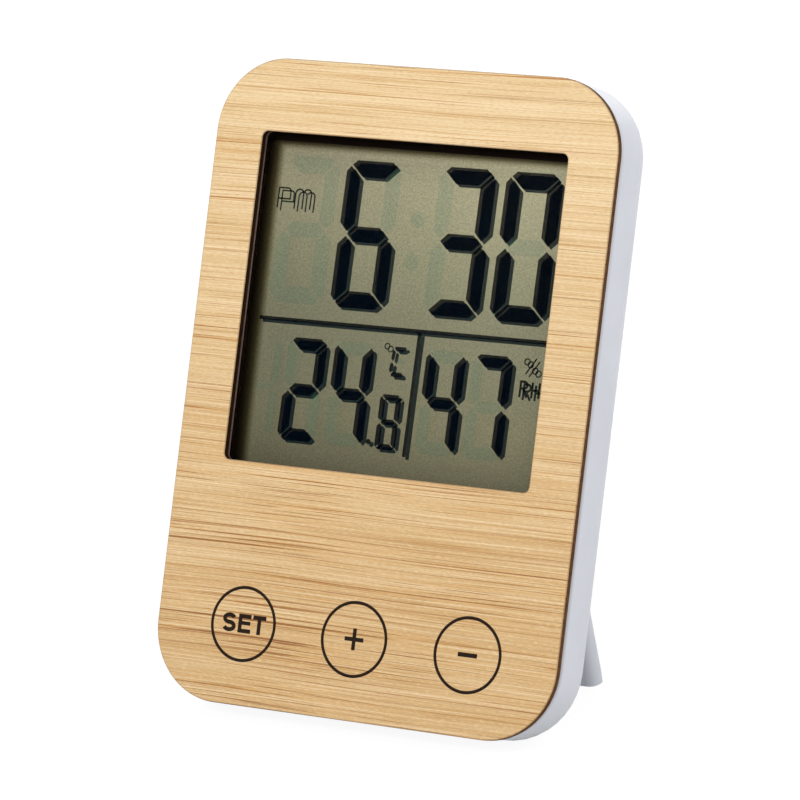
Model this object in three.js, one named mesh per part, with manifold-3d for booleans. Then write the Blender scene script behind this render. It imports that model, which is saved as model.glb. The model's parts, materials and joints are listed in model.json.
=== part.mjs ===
// Desk weather station: a bamboo-faced display case that leans back on a fold-out stand.
// Lengths are millimetres. Case coordinates: X to the right, Y up the face, Z out of the
// front, with z = 0 on the front of the bamboo. The whole case is then leaned back.

import * as THREE from 'three';
import { mergeVertices } from 'three/addons/utils/BufferGeometryUtils.js';
import Module from 'manifold-3d';

const wasm = await Module();
wasm.setup();

// Bamboo faceplate and its window
const windowWidth = 64.8;
const windowHeight = 61.2;
const windowCornerRadius = 1.2;
const sideMargin = 10.1;
const topMargin = 13.7;
const keyPanelHeight = 44.9;
const faceplateThickness = 1.5;
const faceplateCornerRadius = 14;
const faceplateEdgeBreak = 0.2;
const adhesiveSetback = 0.1;

// Touch keys behind the lower panel
const keyHeight = 14.9;
const keySideInset = 18.6;
const padRadius = 6;

// Moulded rear housing
const housingInset = 0.2;
const sideWall = 1.8;
const backWall = 1.6;
const rearEdgeRadius = 5.5;

// Stance
const leanAngle = 20;
const standAngle = 33.3;

// Clearances
const bondGap = 0.1;
const seatGap = 0.1;
const looseFit = 0.3;
const slidingFit = 0.15;

// Layers from the faceplate back to the circuit board
const adhesiveThickness = 0.4;
const lensThickness = 1;
const bezelWeb = 0.5;
const glassThickness = 0.7;
const reflectorThickness = 0.2;
const cushionThickness = 0.6;
const boardThickness = 1;
const bossJointDepth = 0.6;

// Display glass and the frame that holds it
const glassMargin = 1.6;
const contactLedge = 3;
const lensMargin = 1.5;
const bezelWall = 1;
const bezelTopLip = 1.25;
const bezelTabWidth = 1.3;
const bezelTabThickness = 0.9;
const bezelTabLength = 14;
const connectorWidth = 1.8;

// Front chassis
const chassisWall = 1.6;
const chassisRibWidth = 1.2;
const chassisRibHeight = 3;
const caseBossRadius = 2.2;
const boardBossRadius = 1.8;
const sideLedgeOffset = 24;
const sideLedgeWidth = 2;

// Circuit board outline
const boardSideGap = 1.5;
const boardBottomGap = 4;
const boardCorner = 8;
const boardEarHalfWidth = 18;

// Button cell, its contacts and the twist cover
const cellRadius = 10;
const cellThickness = 3.2;
const cellCapRadius = 8.8;
const cellCapHeight = 0.3;
const contactHeight = 1.45;
const stripThickness = 0.25;
const stripWidth = 5;
const archFoot = 7.5;
const archHeel = 4.25;
const archCrown = 1.5;
const cellHeight = 83.9;
const coverThickness = 2;
const coverRadius = 12.2;
const coverSlotLength = 15;
const coverSlotWidth = 2;
const coverSlotDepth = 1.1;
const lugCount = 3;
const lugReach = 1.2;
const lugThickness = 0.7;
const lugAngle = 28;
const lugEntryFit = 4;
const unlockAngle = 40;
const wellWall = 1.5;

// Stand and its recess
const standWidth = 60.4;
const standThickness = 2.8;
const standHingeHeight = 53.4;
const standFootRadius = 2.4;
const standRim = 5;
const standPocketDepth = 1.1;
const standPocketCorner = 2;
const standRibWidth = 1.4;
const standRibCount = 4;
const pinRadius = 1.25;
const pinLength = 1.7;
const pinFit = 0.09;
const recessGap = 0.4;
const trayWall = 1.5;
const pinBossWidth = 3;
const fingerNotchRadius = 9;
const fingerNotchLength = 20;

// Screws
const caseScrewShank = 1;
const caseScrewHead = 2;
const boardScrewShank = 0.8;
const boardScrewHead = 1.6;
const screwHeadHeight = 1.1;
const crossWidth = 0.5;
const crossDepth = 0.5;
const screwCrownShare = 0.8;
const crossShare = 0.6;
const caseScrewTopInset = 7.7;
const caseScrewSideInset = 15.5;
const lowerScrewHeight = 10;
const boardScrewSideInset = 9;
const boardScrewRise = 18;

// Vents and parts on the board
const ventCount = 6;
const ventWidth = 1.2;
const ventLength = 11;
const ventPitch = 2.6;
const ventSideInset = 17.5;
const ventTopInset = 21.8;
const soundHoleRadius = 0.8;
const soundHoleCircle = 2.6;
const soundHoleCount = 6;
const buzzerRadius = 6;
const buzzerHeight = 1.7;
const buzzerEdge = 0.4;
const sensorWidth = 10;
const sensorLength = 12;
const sensorHeight = 3;
const sensorSlotCount = 4;
const globRadius = 5.5;
const globHeight = 1.2;
const crystalRadius = 1.1;
const crystalLength = 6;
const chipSideInset = 17.5;
const chipHeight = 74;

// Facets
const outerCornerSteps = 10;
const outerEdgeSteps = 9;
const innerCornerSteps = 6;
const innerEdgeSteps = 4;
const wellSegments = 40;
const holeSegments = 12;
const weldDistance = 1e-5;
const endFlat = 0.01;

// Outline of the faceplate and the window in it
const faceplateWidth = windowWidth + 2 * sideMargin;
const faceplateHeight = topMargin + windowHeight + keyPanelHeight;
const topY = faceplateHeight / 2;
const bottomY = -topY;
const windowTop = topY - topMargin;
const windowBottom = windowTop - windowHeight;
const windowY = (windowTop + windowBottom) / 2;
const keyY = bottomY + keyHeight;
const keyPitch = faceplateWidth / 2 - keySideInset;

// Depth levels, from the front to the back
const zFaceplateBack = -faceplateThickness;
const zAdhesive = zFaceplateBack - bondGap;
const zChassis = zAdhesive - adhesiveThickness - bondGap;
const zWeb = zChassis - lensThickness - seatGap;
const zGlass = zWeb - bezelWeb - seatGap;
const zRearGlass = zGlass - glassThickness - seatGap;
const zReflector = zRearGlass - glassThickness - seatGap;
const zCushion = zReflector - reflectorThickness - seatGap;
const zBoard = zCushion - cushionThickness - seatGap;
const zBoardBack = zBoard - boardThickness;
const zCell = zBoardBack - contactHeight;
const zCellBack = zCell - cellThickness;
const zCover = zCellBack - slidingFit;
const zBack = zCover - coverThickness;
const zInside = zBack + backWall;
const zChassisBack = zChassis - chassisWall;
const zBossMeet = zBoardBack - bossJointDepth;

// Housing outline
const housingHalfWidth = faceplateWidth / 2 - housingInset;
const housingHalfHeight = faceplateHeight / 2 - housingInset;
const housingCorner = faceplateCornerRadius - housingInset;
const insideHalfWidth = housingHalfWidth - sideWall;
const insideHalfHeight = housingHalfHeight - sideWall;
const insideCorner = housingCorner - sideWall;

// Display frame outline
const glassWidth = windowWidth + 2 * glassMargin;
const glassTop = windowTop + glassMargin;
const glassBottom = windowBottom - glassMargin - contactLedge;
const glassHeight = glassTop - glassBottom;
const glassY = (glassTop + glassBottom) / 2;
const pocketWidth = glassWidth + 2 * slidingFit;
const pocketHeight = glassHeight + 2 * slidingFit;
const bezelWidth = pocketWidth + 2 * bezelWall;
const bezelHeight = pocketHeight + 2 * bezelWall;

// Screw places, as [x, y]
const caseScrewTopY = topY - caseScrewTopInset;
const caseScrewX = faceplateWidth / 2 - caseScrewSideInset;
const caseScrews = [
  [-caseScrewX, caseScrewTopY],
  [caseScrewX, caseScrewTopY],
  [-keyPitch / 2, bottomY + lowerScrewHeight],
  [keyPitch / 2, bottomY + lowerScrewHeight],
];
const boardScrewX = faceplateWidth / 2 - boardScrewSideInset;
const boardScrews = [
  [-keyPitch / 2, caseScrewTopY],
  [keyPitch / 2, caseScrewTopY],
  [-boardScrewX, keyY + boardScrewRise],
  [boardScrewX, keyY + boardScrewRise],
];

// Places of the vents and of the parts under them
const ventX = faceplateWidth / 2 - ventSideInset;
const ventY = topY - ventTopInset;
const chipX = faceplateWidth / 2 - chipSideInset;
const chipY = bottomY + chipHeight;

// Stand: hinge pin place, and the leg length that puts the foot on the ground
const radians = THREE.MathUtils.degToRad;
const lean = radians(leanAngle);
const opening = radians(standAngle);
const hingeY = bottomY + standHingeHeight;
const hingeZ = zBack + standThickness / 2;
const heightOf = (y, z) => y * Math.cos(lean) + z * Math.sin(lean);
const groundHeight = heightOf(rearEdgeRadius - housingHalfHeight, zBack + rearEdgeRadius) - rearEdgeRadius;
const footDrop = (standThickness / 2) * Math.sin(opening - lean);
const standLength = (heightOf(hingeY, hingeZ) - footDrop - groundHeight) / Math.cos(opening - lean);
const zRecess = hingeZ + standThickness / 2 + recessGap;
const heelReach = recessGap - seatGap + (standThickness / 2) * (1 - Math.cos(opening));
const standHeel = heelReach / Math.sin(opening);
const recessHalfWidth = standWidth / 2 + looseFit;
const recessTop = hingeY + Math.hypot(standHeel, standThickness / 2) + looseFit;
const recessBottom = hingeY - standLength - looseFit;

// Battery well
const cellY = bottomY + cellHeight;
const coverBore = coverRadius + looseFit;
const lugRadius = coverRadius + lugReach;
const grooveRadius = lugRadius + looseFit;
const zLug = zCover;
const zGroove = zLug - lugThickness - slidingFit;
const cellBore = cellRadius + looseFit;

// Shapes and solids

function roundedRectangle(width, height, radius, x = 0, y = 0, path = new THREE.Shape()) {
  const right = x + width / 2 - radius;
  const left = x - width / 2 + radius;
  const top = y + height / 2 - radius;
  const bottom = y - height / 2 + radius;
  const quarter = Math.PI / 2;
  path.absarc(right, top, radius, 0, quarter, false);
  path.absarc(left, top, radius, quarter, 2 * quarter, false);
  path.absarc(left, bottom, radius, 2 * quarter, 3 * quarter, false);
  path.absarc(right, bottom, radius, 3 * quarter, 4 * quarter, false);
  path.closePath();
  return path;
}

function extrude(shape, zLow, zHigh, curveSegments = 8) {
  const depth = zHigh - zLow;
  const geometry = new THREE.ExtrudeGeometry(shape, { depth, bevelEnabled: false, curveSegments });
  return geometry.translate(0, 0, zLow);
}

// An outline drawn in Y and Z, extruded along X from -halfWidth to halfWidth
function extrudeAcross(shape, halfWidth, curveSegments = 8) {
  const turn = new THREE.Matrix4().makeBasis(
    new THREE.Vector3(0, 1, 0), new THREE.Vector3(0, 0, 1), new THREE.Vector3(1, 0, 0));
  return extrude(shape, -halfWidth, halfWidth, curveSegments).applyMatrix4(turn);
}

function solid(geometry) {
  const bare = geometry.clone();
  bare.deleteAttribute('normal');
  bare.deleteAttribute('uv');
  const merged = mergeVertices(bare, weldDistance);
  return new wasm.Manifold(new wasm.Mesh({
    numProp: 3,
    vertProperties: new Float32Array(merged.attributes.position.array),
    triVerts: new Uint32Array(merged.index.array),
  }));
}

function geometryOf(body) {
  const mesh = body.getMesh();
  const geometry = new THREE.BufferGeometry();
  geometry.setAttribute('position', new THREE.BufferAttribute(new Float32Array(mesh.vertProperties), 3));
  geometry.setIndex(new THREE.BufferAttribute(new Uint32Array(mesh.triVerts), 1));
  geometry.computeVertexNormals();
  return geometry;
}

const plate = (shape, zLow, zHigh, segments) => solid(extrude(shape, zLow, zHigh, segments));

function block(x0, x1, y0, y1, z0, z1) {
  const box = new THREE.BoxGeometry(x1 - x0, y1 - y0, z1 - z0);
  return solid(box.translate((x0 + x1) / 2, (y0 + y1) / 2, (z0 + z1) / 2));
}

function disc(x, y, radius, zLow, zHigh, segments = 20) {
  const cylinder = new THREE.CylinderGeometry(radius, radius, zHigh - zLow, segments);
  return solid(cylinder.rotateX(Math.PI / 2).translate(x, y, (zLow + zHigh) / 2));
}

function barAcross(y, z, radius, halfLength, segments = 24) {
  const cylinder = new THREE.CylinderGeometry(radius, radius, 2 * halfLength, segments);
  return solid(cylinder.rotateZ(Math.PI / 2).translate(0, y, z));
}

// A body of revolution about Z through (x, y); the profile runs up from the axis to the axis
function turned(profile, x, y, segments = 32) {
  const points = profile.map(([radius, z]) => new THREE.Vector2(radius, z));
  return new THREE.LatheGeometry(points, segments).rotateX(Math.PI / 2).translate(x, y, 0);
}

// A sector of a flat ring between two radii, centred on an angle in degrees
function ringSector(inner, outer, centre, width, x, y, zLow, zHigh) {
  const start = radians(centre - width / 2);
  const end = radians(centre + width / 2);
  const shape = new THREE.Shape();
  shape.absarc(0, 0, outer, start, end, false);
  shape.absarc(0, 0, inner, end, start, true);
  shape.closePath();
  return solid(extrude(shape, zLow, zHigh, 6).translate(x, y, 0));
}

function union(bodies) {
  return bodies.reduce((whole, body) => whole.add(body));
}

// A tub with rounded corners whose back edge is rounded over, as one stack of outlines
function roundedTub(halfWidth, halfHeight, corner, edge, zLow, zHigh, cornerSteps, edgeSteps) {
  const levels = [];
  for (let i = edgeSteps; i >= 0; i--) {
    const angle = (i / edgeSteps) * Math.PI / 2;
    levels.push([edge * (1 - Math.cos(angle)), zLow + edge * (1 - Math.sin(angle))]);
  }
  levels.push([0, zHigh]);
  const positions = [];
  const index = [];
  levels.forEach(([inset, z]) => {
    const radius = corner - inset;
    for (let quarter = 0; quarter < 4; quarter++) {
      const sideX = quarter === 0 || quarter === 3 ? 1 : -1;
      const sideY = quarter < 2 ? 1 : -1;
      for (let step = 0; step <= cornerSteps; step++) {
        const angle = (quarter + step / cornerSteps) * Math.PI / 2;
        positions.push(
          sideX * (halfWidth - corner) + radius * Math.cos(angle),
          sideY * (halfHeight - corner) + radius * Math.sin(angle), z);
      }
    }
  });
  const count = 4 * (cornerSteps + 1);
  for (let level = 0; level < levels.length - 1; level++) {
    for (let i = 0; i < count; i++) {
      const a = level * count + i;
      const b = level * count + (i + 1) % count;
      index.push(a, b, b + count, a, b + count, a + count);
    }
  }
  const last = (levels.length - 1) * count;
  for (let i = 1; i < count - 1; i++) {
    index.push(0, i + 1, i);
    index.push(last, last + i, last + i + 1);
  }
  const geometry = new THREE.BufferGeometry();
  geometry.setAttribute('position', new THREE.Float32BufferAttribute(positions, 3));
  geometry.setIndex(index);
  return solid(geometry);
}

// Bamboo faceplate: cut from sheet, with the display window
function faceplate() {
  const shape = roundedRectangle(faceplateWidth, faceplateHeight, faceplateCornerRadius);
  shape.holes.push(roundedRectangle(
    windowWidth, windowHeight, windowCornerRadius, 0, windowY, new THREE.Path()));
  const geometry = new THREE.ExtrudeGeometry(shape, {
    depth: faceplateThickness - 2 * faceplateEdgeBreak,
    bevelThickness: faceplateEdgeBreak,
    bevelSize: faceplateEdgeBreak,
    bevelOffset: -faceplateEdgeBreak,
    bevelSegments: 1,
    curveSegments: 12,
  });
  return geometryOf(solid(geometry.translate(0, 0, zFaceplateBack + faceplateEdgeBreak)));
}

// Double-sided adhesive between the bamboo and the chassis
function adhesiveSheet() {
  const inset = 2 * seatGap;
  const shape = roundedRectangle(
    2 * (insideHalfWidth - looseFit - inset), 2 * (insideHalfHeight - looseFit - inset),
    insideCorner - looseFit - inset);
  shape.holes.push(roundedRectangle(
    windowWidth + 2 * adhesiveSetback, windowHeight + 2 * adhesiveSetback,
    windowCornerRadius + adhesiveSetback, 0, windowY, new THREE.Path()));
  return geometryOf(plate(shape, zAdhesive - adhesiveThickness, zAdhesive));
}

// Clear window lens, seated in the front rebate of the bezel
function displayLens() {
  const width = windowWidth + 2 * lensMargin;
  const height = windowHeight + 2 * lensMargin;
  const shape = roundedRectangle(width, height, windowCornerRadius + lensMargin, 0, windowY);
  return geometryOf(plate(shape, zChassis - lensThickness, zChassis));
}

// Black frame round the display: lens rebate in front, glass pocket behind, tabs at the sides.
// Its opening stops short of the window at the top, where the lip hides the edge of the glass.
function displayBezel() {
  const zRear = zBoard + seatGap;
  let body = plate(roundedRectangle(bezelWidth, bezelHeight, bezelWall, 0, glassY), zRear, zChassis, 3);
  const tabTop = zChassisBack - seatGap;
  const tabOffset = bezelHeight / 3;
  for (const side of [-1, 1]) {
    for (const along of [-1, 1]) {
      const inner = side * (bezelWidth / 2 - bezelWall / 2);
      const outer = side * (bezelWidth / 2 + bezelTabWidth);
      const middle = glassY + along * tabOffset;
      body = body.add(block(
        Math.min(inner, outer), Math.max(inner, outer),
        middle - bezelTabLength / 2, middle + bezelTabLength / 2, tabTop - bezelTabThickness, tabTop));
    }
  }
  const rebate = lensMargin + slidingFit;
  const opening = roundedRectangle(
    windowWidth + 2 * slidingFit, windowHeight + slidingFit - bezelTopLip, windowCornerRadius,
    0, windowY - (bezelTopLip + slidingFit) / 2);
  const cuts = [
    plate(roundedRectangle(
      windowWidth + 2 * rebate, windowHeight + 2 * rebate, windowCornerRadius + rebate, 0, windowY),
    zWeb, zChassis + 1),
    plate(opening, zRear - 1, zChassis + 1),
    plate(roundedRectangle(pocketWidth, pocketHeight, seatGap, 0, glassY), zRear - 1, zGlass + seatGap, 3),
  ];
  return geometryOf(body.subtract(union(cuts)));
}

// The liquid crystal cell: two sheets of glass, the rear one short of the contact ledge
function glassSheet(bottom, zFront, thickness) {
  const height = glassTop - bottom;
  return geometryOf(block(
    -glassWidth / 2, glassWidth / 2, bottom, bottom + height, zFront - thickness, zFront));
}

const rearGlassBottom = glassBottom + contactLedge;

// Striped rubber connector between the contact ledge and the board
function displayConnector() {
  const middle = glassBottom + contactLedge / 2;
  const half = connectorWidth / 2 - seatGap;
  return geometryOf(block(
    -windowWidth / 2, windowWidth / 2, middle - half, middle + half,
    zBoard + seatGap, zGlass - glassThickness - seatGap));
}

// Front chassis: a moulded plate with the display opening, an edge rib and screw bosses
function frontChassis() {
  const width = 2 * (insideHalfWidth - looseFit);
  const height = 2 * (insideHalfHeight - looseFit);
  const corner = insideCorner - looseFit;
  const outline = roundedRectangle(width, height, corner);
  outline.holes.push(roundedRectangle(
    bezelWidth + 2 * slidingFit, bezelHeight + 2 * slidingFit, bezelWall, 0, glassY, new THREE.Path()));
  const rib = roundedRectangle(width, height, corner);
  rib.holes.push(roundedRectangle(
    width - 2 * chassisRibWidth, height - 2 * chassisRibWidth, corner - chassisRibWidth,
    0, 0, new THREE.Path()));
  const zRib = zChassisBack - chassisRibHeight;
  let body = plate(outline, zChassisBack, zChassis, 10).add(plate(rib, zRib, zChassis - seatGap, 10));
  const bosses = [];
  const pilots = [];
  for (const [x, y] of caseScrews) {
    bosses.push(disc(x, y, caseBossRadius, zBossMeet, zChassis - chassisWall / 2));
    pilots.push(disc(x, y, caseScrewShank + slidingFit, zBossMeet - 1, zChassisBack, holeSegments));
  }
  for (const [x, y] of boardScrews) {
    bosses.push(disc(x, y, boardBossRadius, zBoard + seatGap, zChassis - chassisWall / 2));
    pilots.push(disc(x, y, boardScrewShank + slidingFit, zBoard - 1, zChassisBack, holeSegments));
  }
  body = body.add(union(bosses)).subtract(union(pilots));
  return geometryOf(body);
}

// Circuit board with an ear between the top bosses and holes for the lower ones
const boardTop = caseScrewTopY - caseBossRadius - 2 * looseFit;
const boardBottom = bottomY + sideWall + boardBottomGap;
const boardHalfWidth = insideHalfWidth - chassisRibWidth - boardSideGap;

function mainBoard() {
  const height = boardTop - boardBottom;
  const shape = roundedRectangle(2 * boardHalfWidth, height, boardCorner, 0, (boardTop + boardBottom) / 2);
  let body = plate(shape, zBoardBack, zBoard, 5);
  body = body.add(block(
    -boardEarHalfWidth, boardEarHalfWidth, boardTop - boardCorner,
    caseScrewTopY + boardBossRadius + looseFit, zBoardBack, zBoard));
  const hole = (radius, segments) => ([x, y]) => disc(x, y, radius, zBoardBack - 1, zBoard + 1, segments);
  const holes = [
    ...caseScrews.slice(2).map(hole(caseBossRadius + looseFit)),
    ...boardScrews.map(hole(boardScrewShank + slidingFit, holeSegments)),
  ];
  return geometryOf(body.subtract(union(holes)));
}

// Rear housing: tub with rounded back edges, stand recess, battery well, bosses and vents
function rearHousing() {
  const zMouth = zFaceplateBack - bondGap;
  const outer = roundedTub(
    housingHalfWidth, housingHalfHeight, housingCorner, rearEdgeRadius, zBack, zMouth,
    outerCornerSteps, outerEdgeSteps);
  const inner = roundedTub(
    insideHalfWidth, insideHalfHeight, insideCorner, rearEdgeRadius - sideWall, zInside, zMouth + 1,
    innerCornerSteps, innerEdgeSteps);
  const zTray = zRecess + trayWall;
  const trayHalfWidth = recessHalfWidth + trayWall;
  const pinHalfSpan = recessHalfWidth + pinLength + looseFit;
  const bossHalfSpan = pinHalfSpan + trayWall;
  const added = [
    block(-trayHalfWidth, trayHalfWidth, recessBottom - trayWall, recessTop + trayWall, zBack, zTray),
    block(-bossHalfSpan, bossHalfSpan, hingeY - pinBossWidth, hingeY + pinBossWidth, zBack, zTray),
    disc(0, cellY, grooveRadius + wellWall, zBack, zCell + slidingFit, wellSegments),
  ];
  for (const [x, y] of caseScrews) {
    added.push(disc(x, y, caseBossRadius + looseFit, zBack, zBossMeet - seatGap));
  }
  for (const side of [-1, 1]) {
    for (const along of [-1, 1]) {
      const reach = sideWall + chassisRibWidth;
      const outerX = side * (insideHalfWidth + sideWall / 2);
      const innerX = side * (insideHalfWidth + sideWall / 2 - reach);
      const middle = along * sideLedgeOffset;
      added.push(block(
        Math.min(outerX, innerX), Math.max(outerX, innerX),
        middle - sideLedgeWidth / 2, middle + sideLedgeWidth / 2,
        zBack, zChassisBack - chassisRibHeight - seatGap));
    }
  }
  let body = outer.subtract(inner).add(union(added).intersect(outer));
  const recess = block(
    -recessHalfWidth, recessHalfWidth, recessBottom, recessTop, zBack - 1, zRecess);
  const cuts = [
    recess,
    barAcross(hingeY, hingeZ, pinRadius + pinFit, pinHalfSpan),
    fingerNotch(),
    disc(0, cellY, coverBore, zBack - 1, zCellBack + slidingFit, wellSegments),
    disc(0, cellY, grooveRadius, zGroove, zCellBack + slidingFit, wellSegments),
    disc(0, cellY, cellBore, zBack - 1, zCell + 1, wellSegments),
    block(
      -stripWidth / 2 - looseFit, stripWidth / 2 + looseFit, cellY, cellY + cellBore + wellWall,
      zCellBack + slidingFit, zCell + 1),
  ];
  for (let i = 0; i < lugCount; i++) {
    const centre = 90 + i * 360 / lugCount - unlockAngle;
    cuts.push(ringSector(
      coverRadius / 2, grooveRadius, centre, lugAngle + lugEntryFit,
      0, cellY, zBack - 1, zGroove + seatGap));
  }
  for (const [x, y] of caseScrews) {
    const zSurface = y > 0 ? zBack : zRecess;
    const zSeat = zSurface + screwHeadHeight + looseFit;
    cuts.push(disc(x, y, caseScrewHead + looseFit, zBack - 1, zSeat));
    cuts.push(disc(x, y, caseScrewShank + looseFit, zBack - 1, zBossMeet + 1, holeSegments));
  }
  cuts.push(...vents());
  return geometryOf(body.subtract(union(cuts)));
}

// Shallow scoop below the folded foot, for a fingertip
function fingerNotch() {
  const cylinder = new THREE.CylinderGeometry(fingerNotchRadius, fingerNotchRadius, fingerNotchLength, 32);
  const axisZ = zRecess - fingerNotchRadius;
  return solid(cylinder.translate(0, recessBottom + seatGap - fingerNotchLength / 2, axisZ));
}

// Air slots over the sensor on one side, sound holes over the buzzer on the other
function vents() {
  const cuts = [];
  for (let i = 0; i < ventCount; i++) {
    const x = -ventX + (i - (ventCount - 1) / 2) * ventPitch;
    const slot = roundedRectangle(ventWidth, ventLength, ventWidth / 2 - endFlat, x, ventY);
    cuts.push(plate(slot, zBack - 1, zInside + 1, 2));
  }
  const soundHole = (x, y) => disc(x, y, soundHoleRadius, zBack - 1, zInside + 1, holeSegments);
  cuts.push(soundHole(ventX, ventY));
  for (let i = 0; i < soundHoleCount; i++) {
    const angle = i * 2 * Math.PI / soundHoleCount;
    cuts.push(soundHole(
      ventX + soundHoleCircle * Math.cos(angle), ventY + soundHoleCircle * Math.sin(angle)));
  }
  return cuts;
}

// Twist cover of the battery well: lugs under the housing's ledge and a coin slot
function batteryCover() {
  let body = disc(0, 0, coverRadius, zBack, zLug, wellSegments);
  for (let i = 0; i < lugCount; i++) {
    const centre = 90 + i * 360 / lugCount;
    body = body.add(ringSector(
      coverRadius / 2, lugRadius, centre, lugAngle, 0, 0, zLug - lugThickness, zLug));
  }
  const slot = roundedRectangle(coverSlotLength, coverSlotWidth, coverSlotWidth / 2 - endFlat);
  return geometryOf(body.subtract(plate(slot, zBack - 1, zBack + coverSlotDepth, 4)));
}

// Button cell: a can with the smaller negative cap towards the board
function coinCell() {
  const zRim = zCell - cellCapHeight;
  const profile = [
    [0, zCellBack], [cellRadius, zCellBack], [cellRadius, zRim], [cellCapRadius, zCell], [0, zCell],
  ];
  return turned(profile, 0, cellY, 36);
}

// Negative contact: a strip arched from the board up to the cell
function negativeContact() {
  const zFoot = zBoardBack - seatGap;
  const zTop = zCell + seatGap + stripThickness;
  const arch = [
    [-archFoot, zFoot], [-archHeel, zFoot], [-archCrown, zTop],
    [archCrown, zTop], [archHeel, zFoot], [archFoot, zFoot],
  ];
  const shape = new THREE.Shape();
  arch.forEach(([y, z], i) => (i ? shape.lineTo(y, z) : shape.moveTo(y, z)));
  arch.reverse().forEach(([y, z]) => shape.lineTo(y, z - stripThickness));
  shape.closePath();
  return extrudeAcross(shape, stripWidth / 2).translate(0, cellY, 0);
}

// Positive contact: a blade beside the cell with its foot on the board
function positiveContact() {
  const zFoot = zBoardBack - seatGap;
  const inner = cellY + cellRadius + slidingFit;
  const shape = new THREE.Shape();
  shape.moveTo(inner, zFoot);
  shape.lineTo(inner, zCellBack + 2 * looseFit);
  shape.lineTo(inner + stripThickness, zCellBack + 2 * looseFit);
  shape.lineTo(inner + stripThickness, zFoot - stripThickness);
  shape.lineTo(inner + stripWidth, zFoot - stripThickness);
  shape.lineTo(inner + stripWidth, zFoot);
  shape.closePath();
  return extrudeAcross(shape, stripWidth / 2);
}

// Stand: one moulding drawn about its hinge pin, leg along -Y, outer face towards -Z.
// The heel above the pin meets the recess floor when the stand is open.
function standBody() {
  const half = standThickness / 2;
  const foot = -standLength;
  const shape = new THREE.Shape();
  shape.moveTo(standHeel, half);
  shape.lineTo(standHeel, -half + half / 2);
  shape.absarc(standHeel - half / 2, -half / 2, half / 2, 0, -Math.PI / 2, true);
  shape.lineTo(foot + standFootRadius, -half);
  shape.absarc(
    foot + standFootRadius, -half + standFootRadius, standFootRadius, -Math.PI / 2, -Math.PI, true);
  shape.lineTo(foot, half);
  shape.closePath();
  let body = solid(extrudeAcross(shape, standWidth / 2, 10));
  const pocketTop = -pinRadius - standRim / 2;
  const pocketBottom = foot + standRim;
  const pocketHalfWidth = standWidth / 2 - standRim;
  const pocketOutline = roundedRectangle(
    2 * pocketHalfWidth, pocketTop - pocketBottom, standPocketCorner, 0, (pocketTop + pocketBottom) / 2);
  const pocket = plate(pocketOutline, half - standPocketDepth, half + 1, 4);
  const ribs = [];
  for (let i = 1; i <= standRibCount; i++) {
    const x = -pocketHalfWidth + i * 2 * pocketHalfWidth / (standRibCount + 1);
    ribs.push(block(
      x - standRibWidth / 2, x + standRibWidth / 2, pocketBottom - 1, pocketTop + 1, 0, half));
  }
  body = body.subtract(pocket.subtract(union(ribs)));
  return geometryOf(body.add(barAcross(0, 0, pinRadius, standWidth / 2 + pinLength)));
}

// Cross-head screw pointing along +Z from its seat at z = 0
function screw(shankRadius, headRadius, length) {
  const crown = headRadius * screwCrownShare;
  const profile = [
    [0, -screwHeadHeight], [crown, -screwHeadHeight], [headRadius, -screwHeadHeight / 2], [headRadius, 0],
    [shankRadius, 0], [shankRadius, length - shankRadius], [0, length],
  ];
  const reach = headRadius * crossShare;
  const half = crossWidth / 2;
  const zDeep = crossDepth - screwHeadHeight;
  const cross = block(-reach, reach, -half, half, -screwHeadHeight - 1, zDeep)
    .add(block(-half, half, -reach, reach, -screwHeadHeight - 1, zDeep));
  return geometryOf(solid(turned(profile, 0, 0, 16)).subtract(cross));
}

// Sensor case with air slots, standing on the back of the board
function climateSensor() {
  const zTop = zBoardBack - seatGap;
  let body = block(
    -ventX - sensorWidth / 2, -ventX + sensorWidth / 2, ventY - sensorLength / 2, ventY + sensorLength / 2,
    zTop - sensorHeight, zTop);
  const pitch = sensorLength / (sensorSlotCount + 1);
  for (let i = 1; i <= sensorSlotCount; i++) {
    const middle = ventY - sensorLength / 2 + i * pitch;
    body = body.subtract(block(
      -ventX - sensorWidth / 3, -ventX + sensorWidth / 3, middle - pitch / 4, middle + pitch / 4,
      zTop - sensorHeight - 1, zTop - sensorHeight / 2));
  }
  return geometryOf(body);
}

function buzzer() {
  const zTop = zBoardBack - seatGap;
  const profile = [
    [0, zTop - buzzerHeight], [buzzerRadius - buzzerEdge, zTop - buzzerHeight],
    [buzzerRadius, zTop - buzzerHeight + buzzerEdge], [buzzerRadius, zTop], [0, zTop],
  ];
  return turned(profile, ventX, ventY, 32);
}

// Epoxy blob over the controller
function controllerBlob() {
  const zTop = zBoardBack - seatGap;
  const profile = [];
  const steps = 5;
  for (let i = 0; i <= steps; i++) {
    const angle = (i / steps) * Math.PI / 2;
    profile.push([globRadius * Math.sin(angle), zTop - globHeight * Math.cos(angle)]);
  }
  profile.push([0, zTop]);
  return turned(profile, -chipX, chipY, 24);
}

function crystal() {
  const z = zBoardBack - seatGap - crystalRadius;
  const cylinder = new THREE.CylinderGeometry(crystalRadius, crystalRadius, crystalLength, 16);
  return cylinder.rotateZ(Math.PI / 2).translate(chipX, chipY, z);
}

// Finishes

function finish(color, roughness, metalness = 0) {
  return new THREE.MeshStandardMaterial({ color, roughness, metalness });
}

const bamboo = () => finish(0xe4c491, 0.55);
const whitePlastic = () => finish(0xe6e8ec, 0.45);
const blackPlastic = () => finish(0x14110f, 0.5);
const darkFoam = () => finish(0x2b2b2d, 0.9);
const steel = () => finish(0xb9bcc0, 0.3, 1);
const clearGlass = () => finish(0xdfe8e4, 0.05);

// Assembly

const weatherStation = new THREE.Group();
const leaned = new THREE.Group();
leaned.rotation.x = Math.PI / 2 - lean;
weatherStation.add(leaned);

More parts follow.
